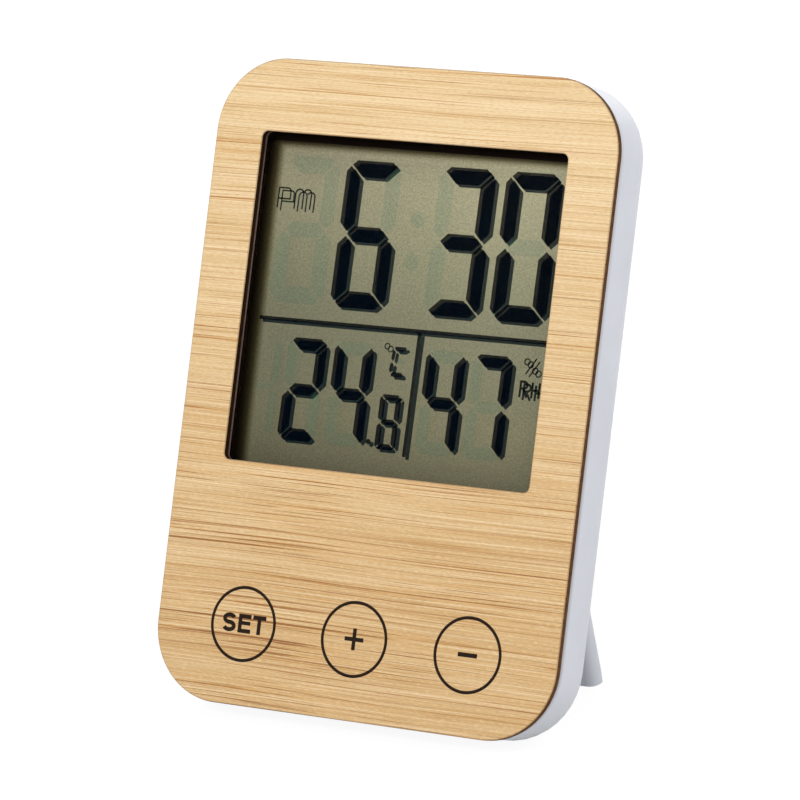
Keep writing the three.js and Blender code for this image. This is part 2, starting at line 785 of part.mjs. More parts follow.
function place(name, geometry, material, parent = leaned) {
  const mesh = new THREE.Mesh(geometry, material);
  mesh.name = name;
  parent.add(mesh);
  return mesh;
}

place('bamboo_faceplate', faceplate(), bamboo());
place('adhesive_sheet', adhesiveSheet(), finish(0xcfc6b8, 0.8));
place('display_lens', displayLens(), clearGlass());
place('display_bezel', displayBezel(), blackPlastic());
place('lcd_front_glass', glassSheet(glassBottom, zGlass, glassThickness), clearGlass());
place('lcd_rear_glass', glassSheet(rearGlassBottom, zRearGlass, glassThickness), clearGlass());
place('lcd_reflector', glassSheet(rearGlassBottom, zReflector, reflectorThickness), finish(0x9c977d, 0.6));
place('display_cushion', glassSheet(rearGlassBottom, zCushion, cushionThickness), darkFoam());
place('display_connector', displayConnector(), finish(0xd98c7a, 0.7));
place('front_chassis', frontChassis(), whitePlastic());
place('rear_housing', rearHousing(), whitePlastic());
place('main_board', mainBoard(), finish(0x2f6b3c, 0.5));
place('controller_blob', controllerBlob(), blackPlastic());
place('crystal', crystal(), steel());
place('climate_sensor', climateSensor(), whitePlastic());
place('buzzer', buzzer(), finish(0xc9a24c, 0.35, 0.9));
place('coin_cell', coinCell(), steel());
place('battery_contact_negative', negativeContact(), steel());
place('battery_contact_positive', positiveContact(), steel());

['touch_pad_set', 'touch_pad_plus', 'touch_pad_minus'].forEach((name, i) => {
  const x = (i - 1) * keyPitch;
  const pad = disc(x, keyY, padRadius, zBoard + seatGap, zChassisBack - seatGap, 32);
  place(name, geometryOf(pad), darkFoam());
});

const coverAxis = new THREE.Group();
coverAxis.position.set(0, cellY, 0);
leaned.add(coverAxis);
place('battery_cover', batteryCover(), whitePlastic(), coverAxis);

const standHinge = new THREE.Group();
standHinge.position.set(0, hingeY, hingeZ);
standHinge.rotation.x = opening;
leaned.add(standHinge);
place('stand', standBody(), whitePlastic(), standHinge);

caseScrews.forEach(([x, y], i) => {
  const zSeat = (y > 0 ? zBack : zRecess) + screwHeadHeight + looseFit - seatGap;
  const length = zChassisBack - seatGap - zSeat - looseFit;
  const mesh = place(`case_screw_${i + 1}`, screw(caseScrewShank, caseScrewHead, length), steel());
  mesh.position.set(x, y, zSeat);
});

boardScrews.forEach(([x, y], i) => {
  const zSeat = zBoardBack - seatGap;
  const length = zChassisBack - seatGap - zSeat - looseFit;
  const mesh = place(`board_screw_${i + 1}`, screw(boardScrewShank, boardScrewHead, length), steel());
  mesh.position.set(x, y, zSeat);
});

// The origin is the middle of the footprint, on the ground
const bounds = new THREE.Box3().setFromObject(weatherStation, true);
const middle = bounds.getCenter(new THREE.Vector3());
leaned.position.set(-middle.x, -middle.y, -bounds.min.z);

export default weatherStation;
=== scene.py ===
"""Looks of a desk weather station: bamboo face, segment display, moulded case and fold-out stand.

Lengths are millimetres on the case unless a name or comment says otherwise: x to the right, y up
the leaning face, z out of the front, with z = 0 on the bamboo. CASE takes them to the part's metres.
"""

import json
from math import cos, pi, radians, sin, sqrt

import bmesh
import bpy
from mathutils import Matrix, Quaternion, Vector


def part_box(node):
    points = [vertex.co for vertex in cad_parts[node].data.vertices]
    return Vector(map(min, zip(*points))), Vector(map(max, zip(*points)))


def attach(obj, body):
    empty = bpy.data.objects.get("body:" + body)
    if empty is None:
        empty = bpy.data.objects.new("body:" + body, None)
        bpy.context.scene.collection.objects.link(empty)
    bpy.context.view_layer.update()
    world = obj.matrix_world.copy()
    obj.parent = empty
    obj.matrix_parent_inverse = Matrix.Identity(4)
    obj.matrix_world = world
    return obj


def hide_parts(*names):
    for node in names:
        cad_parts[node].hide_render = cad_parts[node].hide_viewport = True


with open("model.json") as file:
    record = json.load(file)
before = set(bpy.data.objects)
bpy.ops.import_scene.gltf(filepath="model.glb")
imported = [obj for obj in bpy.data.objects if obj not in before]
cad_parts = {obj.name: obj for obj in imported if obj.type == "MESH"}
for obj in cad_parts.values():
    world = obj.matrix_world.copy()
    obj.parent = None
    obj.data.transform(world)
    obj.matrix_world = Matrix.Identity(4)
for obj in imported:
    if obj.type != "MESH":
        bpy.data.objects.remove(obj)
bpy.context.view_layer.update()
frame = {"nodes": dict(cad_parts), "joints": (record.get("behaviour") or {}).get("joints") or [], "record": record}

MM = 0.001
NODES = frame["nodes"]


# The case as the frame holds it

FACE_THICKNESS = 1.5
face_low, face_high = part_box("bamboo_faceplate")
JOINTS = {joint["name"]: joint for joint in frame["joints"]}
cover_joint = JOINTS["battery_cover_turn"]
FRONT = -Vector(cover_joint["axis"]).normalized()
RIGHT = Vector((1, 0, 0))
UP = FRONT.cross(RIGHT)
FACE_CENTRE = (face_low + face_high) / 2 + FRONT * FACE_THICKNESS / 2 * MM
CASE_TURN = Matrix((RIGHT, UP, FRONT)).transposed()
CASE = Matrix.Translation(FACE_CENTRE) @ CASE_TURN.to_4x4() @ Matrix.Scale(MM, 4)


def case_box(node):
    """Lowest and highest corner of a CAD node, measured along the case."""
    inverse = CASE.inverted()
    points = [inverse @ vertex.co for vertex in NODES[node].data.vertices]
    low = Vector(min(point[axis] for point in points) for axis in range(3))
    high = Vector(max(point[axis] for point in points) for axis in range(3))
    return low, high


plate_low, plate_high = case_box("bamboo_faceplate")
FACE_WIDTH, FACE_HEIGHT = (plate_high - plate_low).xy
FACE_CORNER = 14.0
FACE_EDGE = 0.25
LENS_MARGIN = 1.5
WINDOW_CORNER = 1.2
lens_low, lens_high = case_box("display_lens")
WINDOW_LEFT, WINDOW_RIGHT = lens_low.x + LENS_MARGIN, lens_high.x - LENS_MARGIN
WINDOW_BOTTOM, WINDOW_TOP = lens_low.y + LENS_MARGIN, lens_high.y - LENS_MARGIN
WINDOW_WIDTH, WINDOW_HEIGHT = WINDOW_RIGHT - WINDOW_LEFT, WINDOW_TOP - WINDOW_BOTTOM
WINDOW_Y = (WINDOW_TOP + WINDOW_BOTTOM) / 2
SEGMENT_LEVEL = (case_box("lcd_front_glass")[0].z + case_box("lcd_rear_glass")[1].z) / 2
SHADOW_LEVEL = (case_box("lcd_rear_glass")[0].z + case_box("lcd_reflector")[1].z) / 2
FILM = 0.03


# Camera: the photograph's direction, distance and lens

VIEW_AZIMUTH = 31.80
VIEW_ELEVATION = 15.84
VIEW_ROLL = -3.5585
VIEW_DISTANCE = 967.83
VIEW_AIM = Vector((3.716, -0.820, 0))
VIEW_LENS = 239.746
SENSOR = 36.0
# Nearest and farthest that the camera sees, in metres
NEAREST, FARTHEST = 0.05, 20


def look_from(azimuth, elevation):
    """Unit vector from the object towards a point at that azimuth and elevation, in degrees."""
    a, e = radians(azimuth), radians(elevation)
    return Vector((sin(a) * cos(e), -cos(a) * cos(e), sin(e)))


def make_camera():
    data = bpy.data.cameras.new("camera")
    data.lens = VIEW_LENS
    data.sensor_width = SENSOR
    data.clip_start, data.clip_end = NEAREST, FARTHEST
    camera = in_scene("camera", data)
    towards = look_from(VIEW_AZIMUTH, VIEW_ELEVATION)
    camera.location = CASE @ VIEW_AIM + towards * VIEW_DISTANCE * MM
    camera.rotation_mode = "QUATERNION"
    level = (-towards).to_track_quat("-Z", "Y")
    camera.rotation_quaternion = level @ Quaternion((0, 0, 1), radians(VIEW_ROLL))
    bpy.context.scene.camera = camera


# Node helpers

MIX_A, MIX_B, MIX_RESULT = 6, 7, 2


def colour(red, green, blue):
    """A colour as it looks on screen, 0 to 255, as the linear value that nodes take."""
    def linear(value):
        share = value / 255
        return share / 12.92 if share <= 0.04045 else ((share + 0.055) / 1.055) ** 2.4
    return (linear(red), linear(green), linear(blue), 1.0)


def feed(socket, value):
    """Links a value to a socket where it comes from a node, and sets it there where it is plain."""
    if isinstance(value, bpy.types.NodeSocket):
        socket.id_data.links.new(value, socket)
    else:
        socket.default_value = value


def add(tree, kind, inputs=None, **settings):
    made = tree.nodes.new(kind)
    for name, value in settings.items():
        setattr(made, name, value)
    for name, value in (inputs or {}).items():
        feed(made.inputs[name], value)
    return made


def calc(tree, operation, *values):
    made = add(tree, "ShaderNodeMath", dict(enumerate(values)), operation=operation)
    return made.outputs[0]


def vector_calc(tree, operation, *values):
    made = add(tree, "ShaderNodeVectorMath", dict(enumerate(values)), operation=operation)
    return made.outputs["Value" if operation in ("LENGTH", "DOT_PRODUCT") else "Vector"]


def spread(tree, value, low, high, to_low=0.0, to_high=1.0):
    """Takes value from low..high to to_low..to_high, with soft ends."""
    inputs = {"Value": value, "From Min": low, "From Max": high, "To Min": to_low, "To Max": to_high}
    return add(tree, "ShaderNodeMapRange", inputs, interpolation_type="SMOOTHSTEP").outputs["Result"]


def spread_linear(tree, value, low, high):
    """Takes value from low..high to 0..1 along a straight line."""
    inputs = {"Value": value, "From Min": low, "From Max": high}
    return add(tree, "ShaderNodeMapRange", inputs).outputs["Result"]


def split(tree, place):
    return add(tree, "ShaderNodeSeparateXYZ", {"Vector": place}).outputs


def blend(tree, factor, below, above, kind="MIX"):
    made = add(tree, "ShaderNodeMix", data_type="RGBA", blend_type=kind)
    feed(made.inputs[0], factor)
    feed(made.inputs[MIX_A], below)
    feed(made.inputs[MIX_B], above)
    return made.outputs[MIX_RESULT]


def multiply(tree, shade, by):
    return blend(tree, 1.0, shade, by, "MULTIPLY")


def tinted(tree, shade, *layers):
    """Lays other colours over a shade in turn, each by its mask and strength."""
    for mask, strength, over in layers:
        shade = blend(tree, calc(tree, "MULTIPLY", mask, strength), shade, over)
    return shade


def noise(tree, place, scale=1.0, detail=2.0):
    inputs = {"Vector": place, "Scale": scale, "Detail": detail}
    return add(tree, "ShaderNodeTexNoise", inputs).outputs["Fac"]


def ramp(tree, factor, stops):
    made = add(tree, "ShaderNodeValToRGB", {"Fac": factor})
    points = made.color_ramp.elements
    while len(points) < len(stops):
        points.new(0.5)
    for point, (position, shade) in zip(points, stops):
        point.position = position
        point.color = shade
    return made.outputs["Color"]


def shades(tree, factor, *stops):
    """A ramp whose stops are a position and a screen colour."""
    return ramp(tree, factor, [(position, colour(*shade)) for position, *shade in stops])


def case_place(tree, turn=0.0):
    """Place on the case in millimetres, turned in the face by some degrees."""
    here = add(tree, "ShaderNodeTexCoord").outputs["Object"]
    inverse = CASE_TURN.transposed()
    inputs = {
        "Vector": here,
        "Location": -(inverse @ (FACE_CENTRE / MM)),
        "Rotation": inverse.to_euler(),
        "Scale": (1 / MM,) * 3,
    }
    place = add(tree, "ShaderNodeMapping", inputs, vector_type="POINT").outputs["Vector"]
    if turn:
        inputs = {"Vector": place, "Rotation": (0, 0, radians(turn))}
        place = add(tree, "ShaderNodeMapping", inputs, vector_type="POINT").outputs["Vector"]
    return place


def principled(name, **plain):
    """A new material with a Principled shader; plain values go on the shader's own sockets."""
    material = bpy.data.materials.new(name)
    material.use_nodes = True
    shader = material.node_tree.nodes["Principled BSDF"]
    for title, value in plain.items():
        shader.inputs[title.replace("_", " ").title().replace("Ior", "IOR")].default_value = value
    return material, material.node_tree, shader


def bumped(tree, shader, height, distance):
    """Raises the surface by height, 0 to 1, times a distance in millimetres."""
    made = add(tree, "ShaderNodeBump", {"Height": height, "Distance": distance * MM, "Strength": 1.0})
    tree.links.new(made.outputs["Normal"], shader.inputs["Normal"])


def new_socket(tree, title, kind, in_out="INPUT"):
    tree.interface.new_socket(name=title, in_out=in_out, socket_type="NodeSocket" + kind)


def new_group(name, numbers, results):
    """A shader group that takes a place and some numbers, and gives numbers."""
    tree = bpy.data.node_groups.new(name, "ShaderNodeTree")
    new_socket(tree, "Place", "Vector")
    for title in numbers:
        new_socket(tree, title, "Float")
    for title in results:
        new_socket(tree, title, "Float", "OUTPUT")
    return tree, add(tree, "NodeGroupInput").outputs, add(tree, "NodeGroupOutput").inputs


def use_group(tree, group, inputs):
    made = tree.nodes.new("ShaderNodeGroup")
    made.node_tree = group
    for name, value in inputs.items():
        feed(made.inputs[name], value)
    return made.outputs


# Effects that several finishes share

STREAK_DETAIL = 2.5
CLOUD_SCALE = 0.06
GLOSS_CHANGE = 0.16


def streak_effect():
    """Long thin marks along x, such as wood fibres or brushing."""
    tree, given, out = new_group("streaks", ["Length", "Width", "Start", "Softness"], ["Mask"])
    across = calc(tree, "DIVIDE", 1.0, given["Width"])
    inputs = {"X": calc(tree, "DIVIDE", 1.0, given["Length"]), "Y": across, "Z": across}
    scale = add(tree, "ShaderNodeCombineXYZ", inputs).outputs["Vector"]
    value = noise(tree, vector_calc(tree, "MULTIPLY", given["Place"], scale), detail=STREAK_DETAIL)
    end = calc(tree, "ADD", given["Start"], given["Softness"])
    feed(out["Mask"], spread(tree, value, given["Start"], end))
    return tree


def outline_effect():
    """Distance from a rounded rectangle centred on the place's origin, below zero inside it."""
    numbers = ["Half Width", "Half Height", "Corner"]
    tree, given, out = new_group("outline distance", numbers, ["Distance"])
    along = split(tree, given["Place"])
    over = []
    for axis, half in (("X", "Half Width"), ("Y", "Half Height")):
        inner = calc(tree, "SUBTRACT", given[half], given["Corner"])
        over.append(calc(tree, "SUBTRACT", calc(tree, "ABSOLUTE", along[axis]), inner))
    outside = [calc(tree, "MAXIMUM", value, 0.0) for value in over]
    corner = add(tree, "ShaderNodeCombineXYZ", {"X": outside[0], "Y": outside[1]}).outputs["Vector"]
    inside = calc(tree, "MINIMUM", calc(tree, "MAXIMUM", *over), 0.0)
    reach = calc(tree, "ADD", vector_calc(tree, "LENGTH", corner), inside)
    feed(out["Distance"], calc(tree, "SUBTRACT", reach, given["Corner"]))
    return tree


def skin_effect():
    """Fine spark-eroded texture of a moulded surface, with faint cloudy changes of gloss."""
    results = ["Height", "Roughness", "Cloud"]
    tree, given, out = new_group("moulded skin", ["Grain", "Roughness"], results)
    fine = noise(tree, given["Place"], calc(tree, "DIVIDE", 1.0, given["Grain"]), detail=2)
    cloud = noise(tree, given["Place"], CLOUD_SCALE, detail=3)
    feed(out["Height"], fine)
    feed(out["Cloud"], cloud)
    change = calc(tree, "MULTIPLY", calc(tree, "SUBTRACT", cloud, 0.5), GLOSS_CHANGE)
    feed(out["Roughness"], calc(tree, "ADD", given["Roughness"], change))
    return tree


STREAKS = streak_effect()
OUTLINE = outline_effect()
SKIN = skin_effect()


# Finishes

def edge_distance(tree, place, width, height, corner, y=0.0):
    moved = vector_calc(tree, "SUBTRACT", place, (0, y, 0))
    inputs = {"Place": moved, "Half Width": width / 2, "Half Height": height / 2, "Corner": corner}
    return use_group(tree, OUTLINE, inputs)["Distance"]


def streaks(tree, place, length, width, start, softness):
    inputs = {"Place": place, "Length": length, "Width": width, "Start": start, "Softness": softness}
    return use_group(tree, STREAKS, inputs)["Mask"]


GRAIN_DRIFT = 1.5
DRIFT_SCALE = (0.012, 0.03, 0.03)


def along_fibres(tree, place):
    """Place along the bamboo's fibres, which run across the face and drift up and down a little."""
    drift = noise(tree, vector_calc(tree, "MULTIPLY", place, DRIFT_SCALE), detail=1)
    rise = calc(tree, "MULTIPLY", calc(tree, "SUBTRACT", drift, 0.5), GRAIN_DRIFT)
    shift = add(tree, "ShaderNodeCombineXYZ", {"Y": rise}).outputs["Vector"]
    return vector_calc(tree, "ADD", place, shift)


def in_layer(tree, fibres, layer):
    """The same fibres at another depth, where every pattern is another one."""
    return vector_calc(tree, "ADD", fibres, (0, 0, layer))


def fibre_noise(tree, fibres, length, width, layer, detail=1.0):
    """Noise drawn out along the fibres."""
    scale = (1 / length, 1 / width, 1 / width)
    return noise(tree, vector_calc(tree, "MULTIPLY", in_layer(tree, fibres, layer), scale), detail=detail)


def rim_nearness(tree, place):
    """How close a point is to the sheet's rim: 0 on the cut, falling into the sheet."""
    return edge_distance(tree, place, FACE_WIDTH, FACE_HEIGHT, FACE_CORNER)


def window_nearness(tree, place):
    """How close a point is to the window: 0 on the cut, falling into the sheet."""
    inside = edge_distance(tree, place, WINDOW_WIDTH, WINDOW_HEIGHT, WINDOW_CORNER, WINDOW_Y)
    return calc(tree, "MULTIPLY", inside, -1.0)


PALE_TOP, DEEP_BASE = 50, -50
STREAK_START, STREAK_GAIN = 0.58, 0.03
HALO_SOFTNESS, CORE_RISE, CORE_SOFTNESS = 0.08, 0.055, 0.04
SCORCH_FROM, SCORCH_FULL = -0.30, -0.10


def bamboo_finish():
    """Soft bands, fine fibres and flecks, brown streaks, pores, brush marks and a scorched rim."""
    material, tree, shader = principled("bamboo", specular_ior_level=0.3)
    place = case_place(tree)
    fibres = along_fibres(tree, place)
    lower = spread_linear(tree, split(tree, place)["Y"], PALE_TOP, DEEP_BASE)

    band = fibre_noise(tree, fibres, length=120, width=5.0, layer=0, detail=2)
    shade = shades(tree, band, (0.30, 228, 195, 144), (0.50, 234, 204, 155), (0.70, 240, 212, 167))
    # Darker and warmer towards the bottom: partly the sheet's own tone, partly painted shade of light that weakens
    # lower down.
    shade = blend(tree, lower, shade, multiply(tree, shade, colour(234, 223, 209)))

    fine = fibre_noise(tree, fibres, length=44, width=0.21, layer=3)
    fleck = fibre_noise(tree, fibres, length=1.0, width=0.24, layer=47)
    shade = tinted(
        tree, shade,
        (spread(tree, fine, 0.50, 0.80), 0.60, colour(252, 230, 190)),
        (spread(tree, fine, 0.50, 0.20), 0.66, colour(200, 152, 92)),
        (spread(tree, fleck, 0.50, 0.78), 0.30, colour(252, 228, 182)),
        (spread(tree, fleck, 0.50, 0.22), 0.26, colour(192, 144, 84)))

    start = calc(tree, "SUBTRACT", STREAK_START, calc(tree, "MULTIPLY", lower, STREAK_GAIN))
    core_start = calc(tree, "ADD", start, CORE_RISE)
    heart = blend(tree, lower, colour(176, 116, 60), colour(134, 82, 42))
    crowd = fibre_noise(tree, fibres, length=70, width=7.0, layer=29)
    for layer, length, width, strength in ((11, 74, 0.32, 0.95), (17, 34, 0.20, 0.9)):
        moved = in_layer(tree, fibres, layer)
        amount = spread(tree, crowd, 0.34, 0.62, 0.45 * strength, 1.15 * strength)
        halo = streaks(tree, moved, length, width, start, HALO_SOFTNESS)
        core = streaks(tree, moved, length, width, core_start, CORE_SOFTNESS)
        shade = tinted(
            tree, shade,
            (calc(tree, "MULTIPLY", halo, amount), 0.60, colour(222, 168, 92)),
            (calc(tree, "MULTIPLY", core, amount), 0.82, heart))

    thin = streaks(tree, in_layer(tree, fibres, 41), 130, 0.20, 0.665, 0.035)
    pores = streaks(tree, fibres, 1.6, 0.20, 0.68, 0.05)
    brushed = streaks(tree, case_place(tree, turn=33), 5.0, 0.22, 0.62, 0.10)
    scorched = calc(tree, "MAXIMUM", rim_nearness(tree, place), window_nearness(tree, place))
    shade = tinted(
        tree, shade,
        (thin, 0.60, colour(136, 86, 50)),
        (pores, 0.45, colour(140, 98, 60)),
        (brushed, 0.20, colour(252, 236, 206)),
        (spread(tree, scorched, SCORCH_FROM, SCORCH_FULL), 0.45, colour(112, 72, 40)))
    feed(shader.inputs["Base Color"], shade)

    feed(shader.inputs["Roughness"], spread(tree, fine, 0.3, 0.7, 0.62, 0.50))
    relief = calc(tree, "SUBTRACT", fine, calc(tree, "MULTIPLY", core, 0.5))
    bumped(tree, shader, relief, 0.02)
    return material


def cut_edge_finish():
    """Bamboo edge scorched by the cutting beam, darkest inside the window."""
    material, tree, shader = principled("scorched_edge", specular_ior_level=0.08, roughness=0.85)
    place = case_place(tree)
    char = noise(tree, vector_calc(tree, "MULTIPLY", place, (0.9, 0.9, 2.5)), detail=3)
    shade = shades(tree, char, (0.3, 72, 46, 27), (0.7, 108, 76, 50))
    soot = shades(tree, char, (0.3, 22, 12, 6), (0.7, 48, 27, 13))
    shade = blend(tree, spread(tree, window_nearness(tree, place), -2.0, -1.0), shade, soot)
    feed(shader.inputs["Base Color"], shade)
    bumped(tree, shader, char, 0.03)
    return material


def ink_finish():
    """Dark brown print that follows the fibres a little."""
    material, tree, shader = principled("printed_ink", roughness=0.6, specular_ior_level=0.1)
    fibres = along_fibres(tree, case_place(tree))
    fine = fibre_noise(tree, fibres, length=3, width=0.25, layer=5, detail=3)
    shade = shades(tree, fine, (0.35, 24, 13, 6), (0.72, 44, 28, 16))
    feed(shader.inputs["Base Color"], shade)
    bumped(tree, shader, fine, 0.015)
    return material


MOULD_GRAIN = 0.22
MOULD_DEPTH = 0.006
SEAM_SHADE_FROM, SEAM_SHADE_FULL = -3.1, -1.5
SEAM_SHADE_TOP, SEAM_SHADE_BASE = 60, -60
SEAM_SHADE_LEAST, SEAM_SHADE_MOST = 1.2, 1.9


def moulded_finish(name, dark, light, roughness, gloss=0.5, seam_shade=None):
    """Fine-textured plastic; where a shade colour is given, painted shade darkens it beside the join with the
    bamboo, more so lower down.
    """
    material, tree, shader = principled(name, specular_ior_level=gloss)
    place = case_place(tree)
    skin = use_group(tree, SKIN, {"Place": place, "Grain": MOULD_GRAIN, "Roughness": roughness})
    shade = blend(tree, spread(tree, skin["Cloud"], 0.35, 0.65), dark, light)
    # Painted shade in the crease behind the bamboo sheet, deeper lower down and patchy with the cloud.
    if seam_shade:
        along = split(tree, place)
        lower = spread(tree, along["Y"], SEAM_SHADE_TOP, SEAM_SHADE_BASE, SEAM_SHADE_LEAST, SEAM_SHADE_MOST)
        shade_amount = calc(tree, "MULTIPLY", skin["Cloud"], lower)
        near = spread(tree, along["Z"], SEAM_SHADE_FROM, SEAM_SHADE_FULL)
        shade = tinted(tree, shade, (near, shade_amount, multiply(tree, shade, seam_shade)))
    feed(shader.inputs["Base Color"], shade)
    feed(shader.inputs["Roughness"], skin["Roughness"])
    bumped(tree, shader, skin["Height"], MOULD_DEPTH)
    return material


def lens_finish():
    """Clear coated acrylic: it mirrors by its angle and lets the rest through."""
    material, tree, shader = principled(
        "clear_lens", base_color=(1, 1, 1, 1), roughness=0.02, metallic=1.0)
    gloss = add(tree, "ShaderNodeFresnel", {"IOR": 1.38}).outputs["Fac"]
    behind = add(tree, "ShaderNodeNewGeometry").outputs["Backfacing"]
    front = calc(tree, "SUBTRACT", 1.0, behind)
    feed(shader.inputs["Alpha"], calc(tree, "MULTIPLY", gloss, front))
    return material


def cell_finish():
    """The display's glass with its grey polariser."""
    material, tree, shader = principled("display_glass", roughness=0.1, alpha=0.03)
    cloud = noise(tree, case_place(tree), 0.05)
    shade = ramp(tree, cloud, [(0.3, (0.010, 0.012, 0.009, 1)), (0.7, (0.013, 0.014, 0.010, 1))])
    feed(shader.inputs["Base Color"], shade)
    return material


# Reach and place of the painted shadow that the window's walls throw on the film
WALL_SHADOW_WIDTH = 2.8
WALL_SHADOW_OUTSIDE = 1.2
WALL_SHADOW_DROP = 0.8
WALL_SHADOW_HIDDEN = 8.0
FILM_SIDE = 32
SPECK_SCALE, SPECK_STRENGTH = 3.0, 0.58


def reflector_finish():
    """Olive-grey film behind the display, with painted light: a painted reflection makes it palest near the top,
    painted shade darkens it towards the left, and a painted shadow of the window's walls lies at its sides and
    top.
    """
    material, tree, shader = principled("reflector_film", roughness=0.45, specular_ior_level=0.2)
    place = case_place(tree)
    along = split(tree, place)
    # The film's brightness from bottom to top is painted reflected light, palest near the top.
    height = spread_linear(tree, along["Y"], WINDOW_BOTTOM, WINDOW_TOP)
    shade = shades(
        tree, height, (0.00, 114, 110, 83), (0.16, 132, 128, 98), (0.30, 134, 132, 103),
        (0.47, 139, 137, 108), (0.60, 151, 149, 117), (0.86, 175, 170, 136), (1.00, 169, 164, 132))
    # Darker towards the left and a little lighter to the right: painted shade.
    side = spread_linear(tree, along["X"], -FILM_SIDE, FILM_SIDE)
    across = ((0.03, 0.78), (0.09, 0.71), (0.35, 0.80), (0.90, 1.02))
    side_shade = ramp(tree, side, [(position, (level, level, level, 1)) for position, level in across])
    shade = multiply(tree, shade, side_shade)
    speck = noise(tree, place, SPECK_SCALE)
    pale = multiply(tree, shade, (1.36, 1.36, 1.34, 1))
    dark = multiply(tree, shade, (0.68, 0.68, 0.66, 1))
    shade = tinted(
        tree, shade,
        (spread(tree, speck, 0.46, 0.72), SPECK_STRENGTH, pale),
        (spread(tree, speck, 0.54, 0.28), SPECK_STRENGTH, dark))
    # A painted shadow of the window's walls on the film at its sides and top; its lower edge lies out of sight.
    low, high = WINDOW_BOTTOM - WALL_SHADOW_HIDDEN, WINDOW_TOP - WALL_SHADOW_DROP
    inside = edge_distance(tree, place, WINDOW_WIDTH, high - low, WINDOW_CORNER, (high + low) / 2)
    rim = ramp(tree, spread_linear(tree, inside, WALL_SHADOW_OUTSIDE, -WALL_SHADOW_WIDTH), [
        (0.00, (0.07, 0.05, 0.03, 1)), (0.12, (0.10, 0.08, 0.05, 1)), (0.30, (0.24, 0.20, 0.14, 1)),
        (0.405, (0.36, 0.31, 0.21, 1)), (0.54, (0.61, 0.57, 0.45, 1)), (0.67, (0.87, 0.85, 0.78, 1)),
        (0.80, (1.07, 1.07, 1.06, 1)), (1.00, (1.0, 1.0, 1.0, 1))])
    feed(shader.inputs["Base Color"], multiply(tree, shade, rim))
    return material


def segment_finish(name, dark, light, alpha):
    """A thin tinted film; light passes both its faces, so its alpha counts twice."""
    material, tree, shader = principled(name, roughness=0.6, alpha=alpha, specular_ior_level=0.0)
    shade = ramp(tree, noise(tree, case_place(tree), 0.4), [(0.35, dark), (0.65, light)])
    feed(shader.inputs["Base Color"], shade)
    return material


BRUSH_LENGTH, BRUSH_WIDTH = 3.0, 0.05
BRUSH_DULLING = 0.12


def metal_finish(name, dark, light, roughness):
    material, tree, shader = principled(name, metallic=1.0)
    mask = streaks(tree, case_place(tree), BRUSH_LENGTH, BRUSH_WIDTH, 0.4, 0.25)
    feed(shader.inputs["Base Color"], blend(tree, mask, dark, light))
    rougher = spread(tree, mask, 0.0, 1.0, roughness, roughness + BRUSH_DULLING)
    feed(shader.inputs["Roughness"], rougher)
    return material


TRACK_SCALE = 0.28
TRACKS_PER_CELL = 6.0


def board_finish():
    """Green solder mask over faint copper tracks."""
    material, tree, shader = principled("solder_mask", roughness=0.35)
    place = case_place(tree)
    inputs = {"Vector": place, "Scale": TRACK_SCALE, "Randomness": 0.55}
    cells = add(tree, "ShaderNodeTexVoronoi", inputs, feature="F1", distance="CHEBYCHEV")
    rings = calc(tree, "MULTIPLY", cells.outputs["Distance"], TRACKS_PER_CELL)
    track = calc(tree, "PINGPONG", rings, 0.5)
    mask = spread(tree, track, 0.28, 0.36)
    feed(shader.inputs["Base Color"], blend(tree, mask, colour(30, 82, 44), colour(58, 122, 62)))
    bumped(tree, shader, mask, 0.02)
    return material


def speckled_finish(name, dark, light, roughness, scale, depth):
    """Foam, tape, rubber and the like: a close two-tone grain."""
    material, tree, shader = principled(name, roughness=roughness)
    grain = noise(tree, case_place(tree), scale, detail=3)
    feed(shader.inputs["Base Color"], ramp(tree, grain, [(0.35, dark), (0.65, light)]))
    bumped(tree, shader, grain, depth)
    return material


BAMBOO = bamboo_finish()
CUT_EDGE = cut_edge_finish()
INK = ink_finish()
PALE, PALEST = colour(211, 214, 221), colour(216, 219, 226)
WHITE = moulded_finish("pale_plastic", PALE, PALEST, 0.46)
# The last colour is painted shade for the crease behind the bamboo sheet.
SHELL = moulded_finish("pale_shell", PALE, PALEST, 0.46, seam_shade=colour(196, 190, 190))
BLACK = moulded_finish("black_plastic", colour(10, 5, 2), colour(17, 9, 5), 0.7, gloss=0.03)
PRINT = moulded_finish("grey_print", colour(104, 107, 113), colour(118, 121, 127), 0.55, gloss=0.3)
LENS = lens_finish()
CELL = cell_finish()
REFLECTOR = reflector_finish()
LIT = segment_finish("lit_segments", colour(0, 3, 13), colour(0, 5, 17), 0.71)
IDLE = segment_finish("idle_segments", colour(24, 126, 104), colour(32, 132, 110), 0.068)
SHADOW = segment_finish("segment_shadows", colour(0, 24, 31), colour(2, 28, 35), 0.695)
STEEL = metal_finish("plated_steel", colour(178, 180, 184), colour(214, 216, 220), 0.25)
BRASS = metal_finish("brass_disc", colour(176, 142, 82), colour(206, 172, 108), 0.3)
BOARD = board_finish()
TAPE = speckled_finish("adhesive_tape", colour(104, 84, 74), colour(118, 98, 88), 0.8, 2.5, 0.02)
FOAM = speckled_finish("dark_foam", colour(34, 34, 36), colour(52, 52, 55), 0.95, 3.0, 0.08)
RUBBER = speckled_finish("silicone_rubber", colour(88, 54, 48), colour(104, 66, 58), 0.6, 1.5, 0.01)
EPOXY = speckled_finish("black_epoxy", colour(14, 14, 15), colour(22, 22, 24), 0.18, 0.5, 0.05)

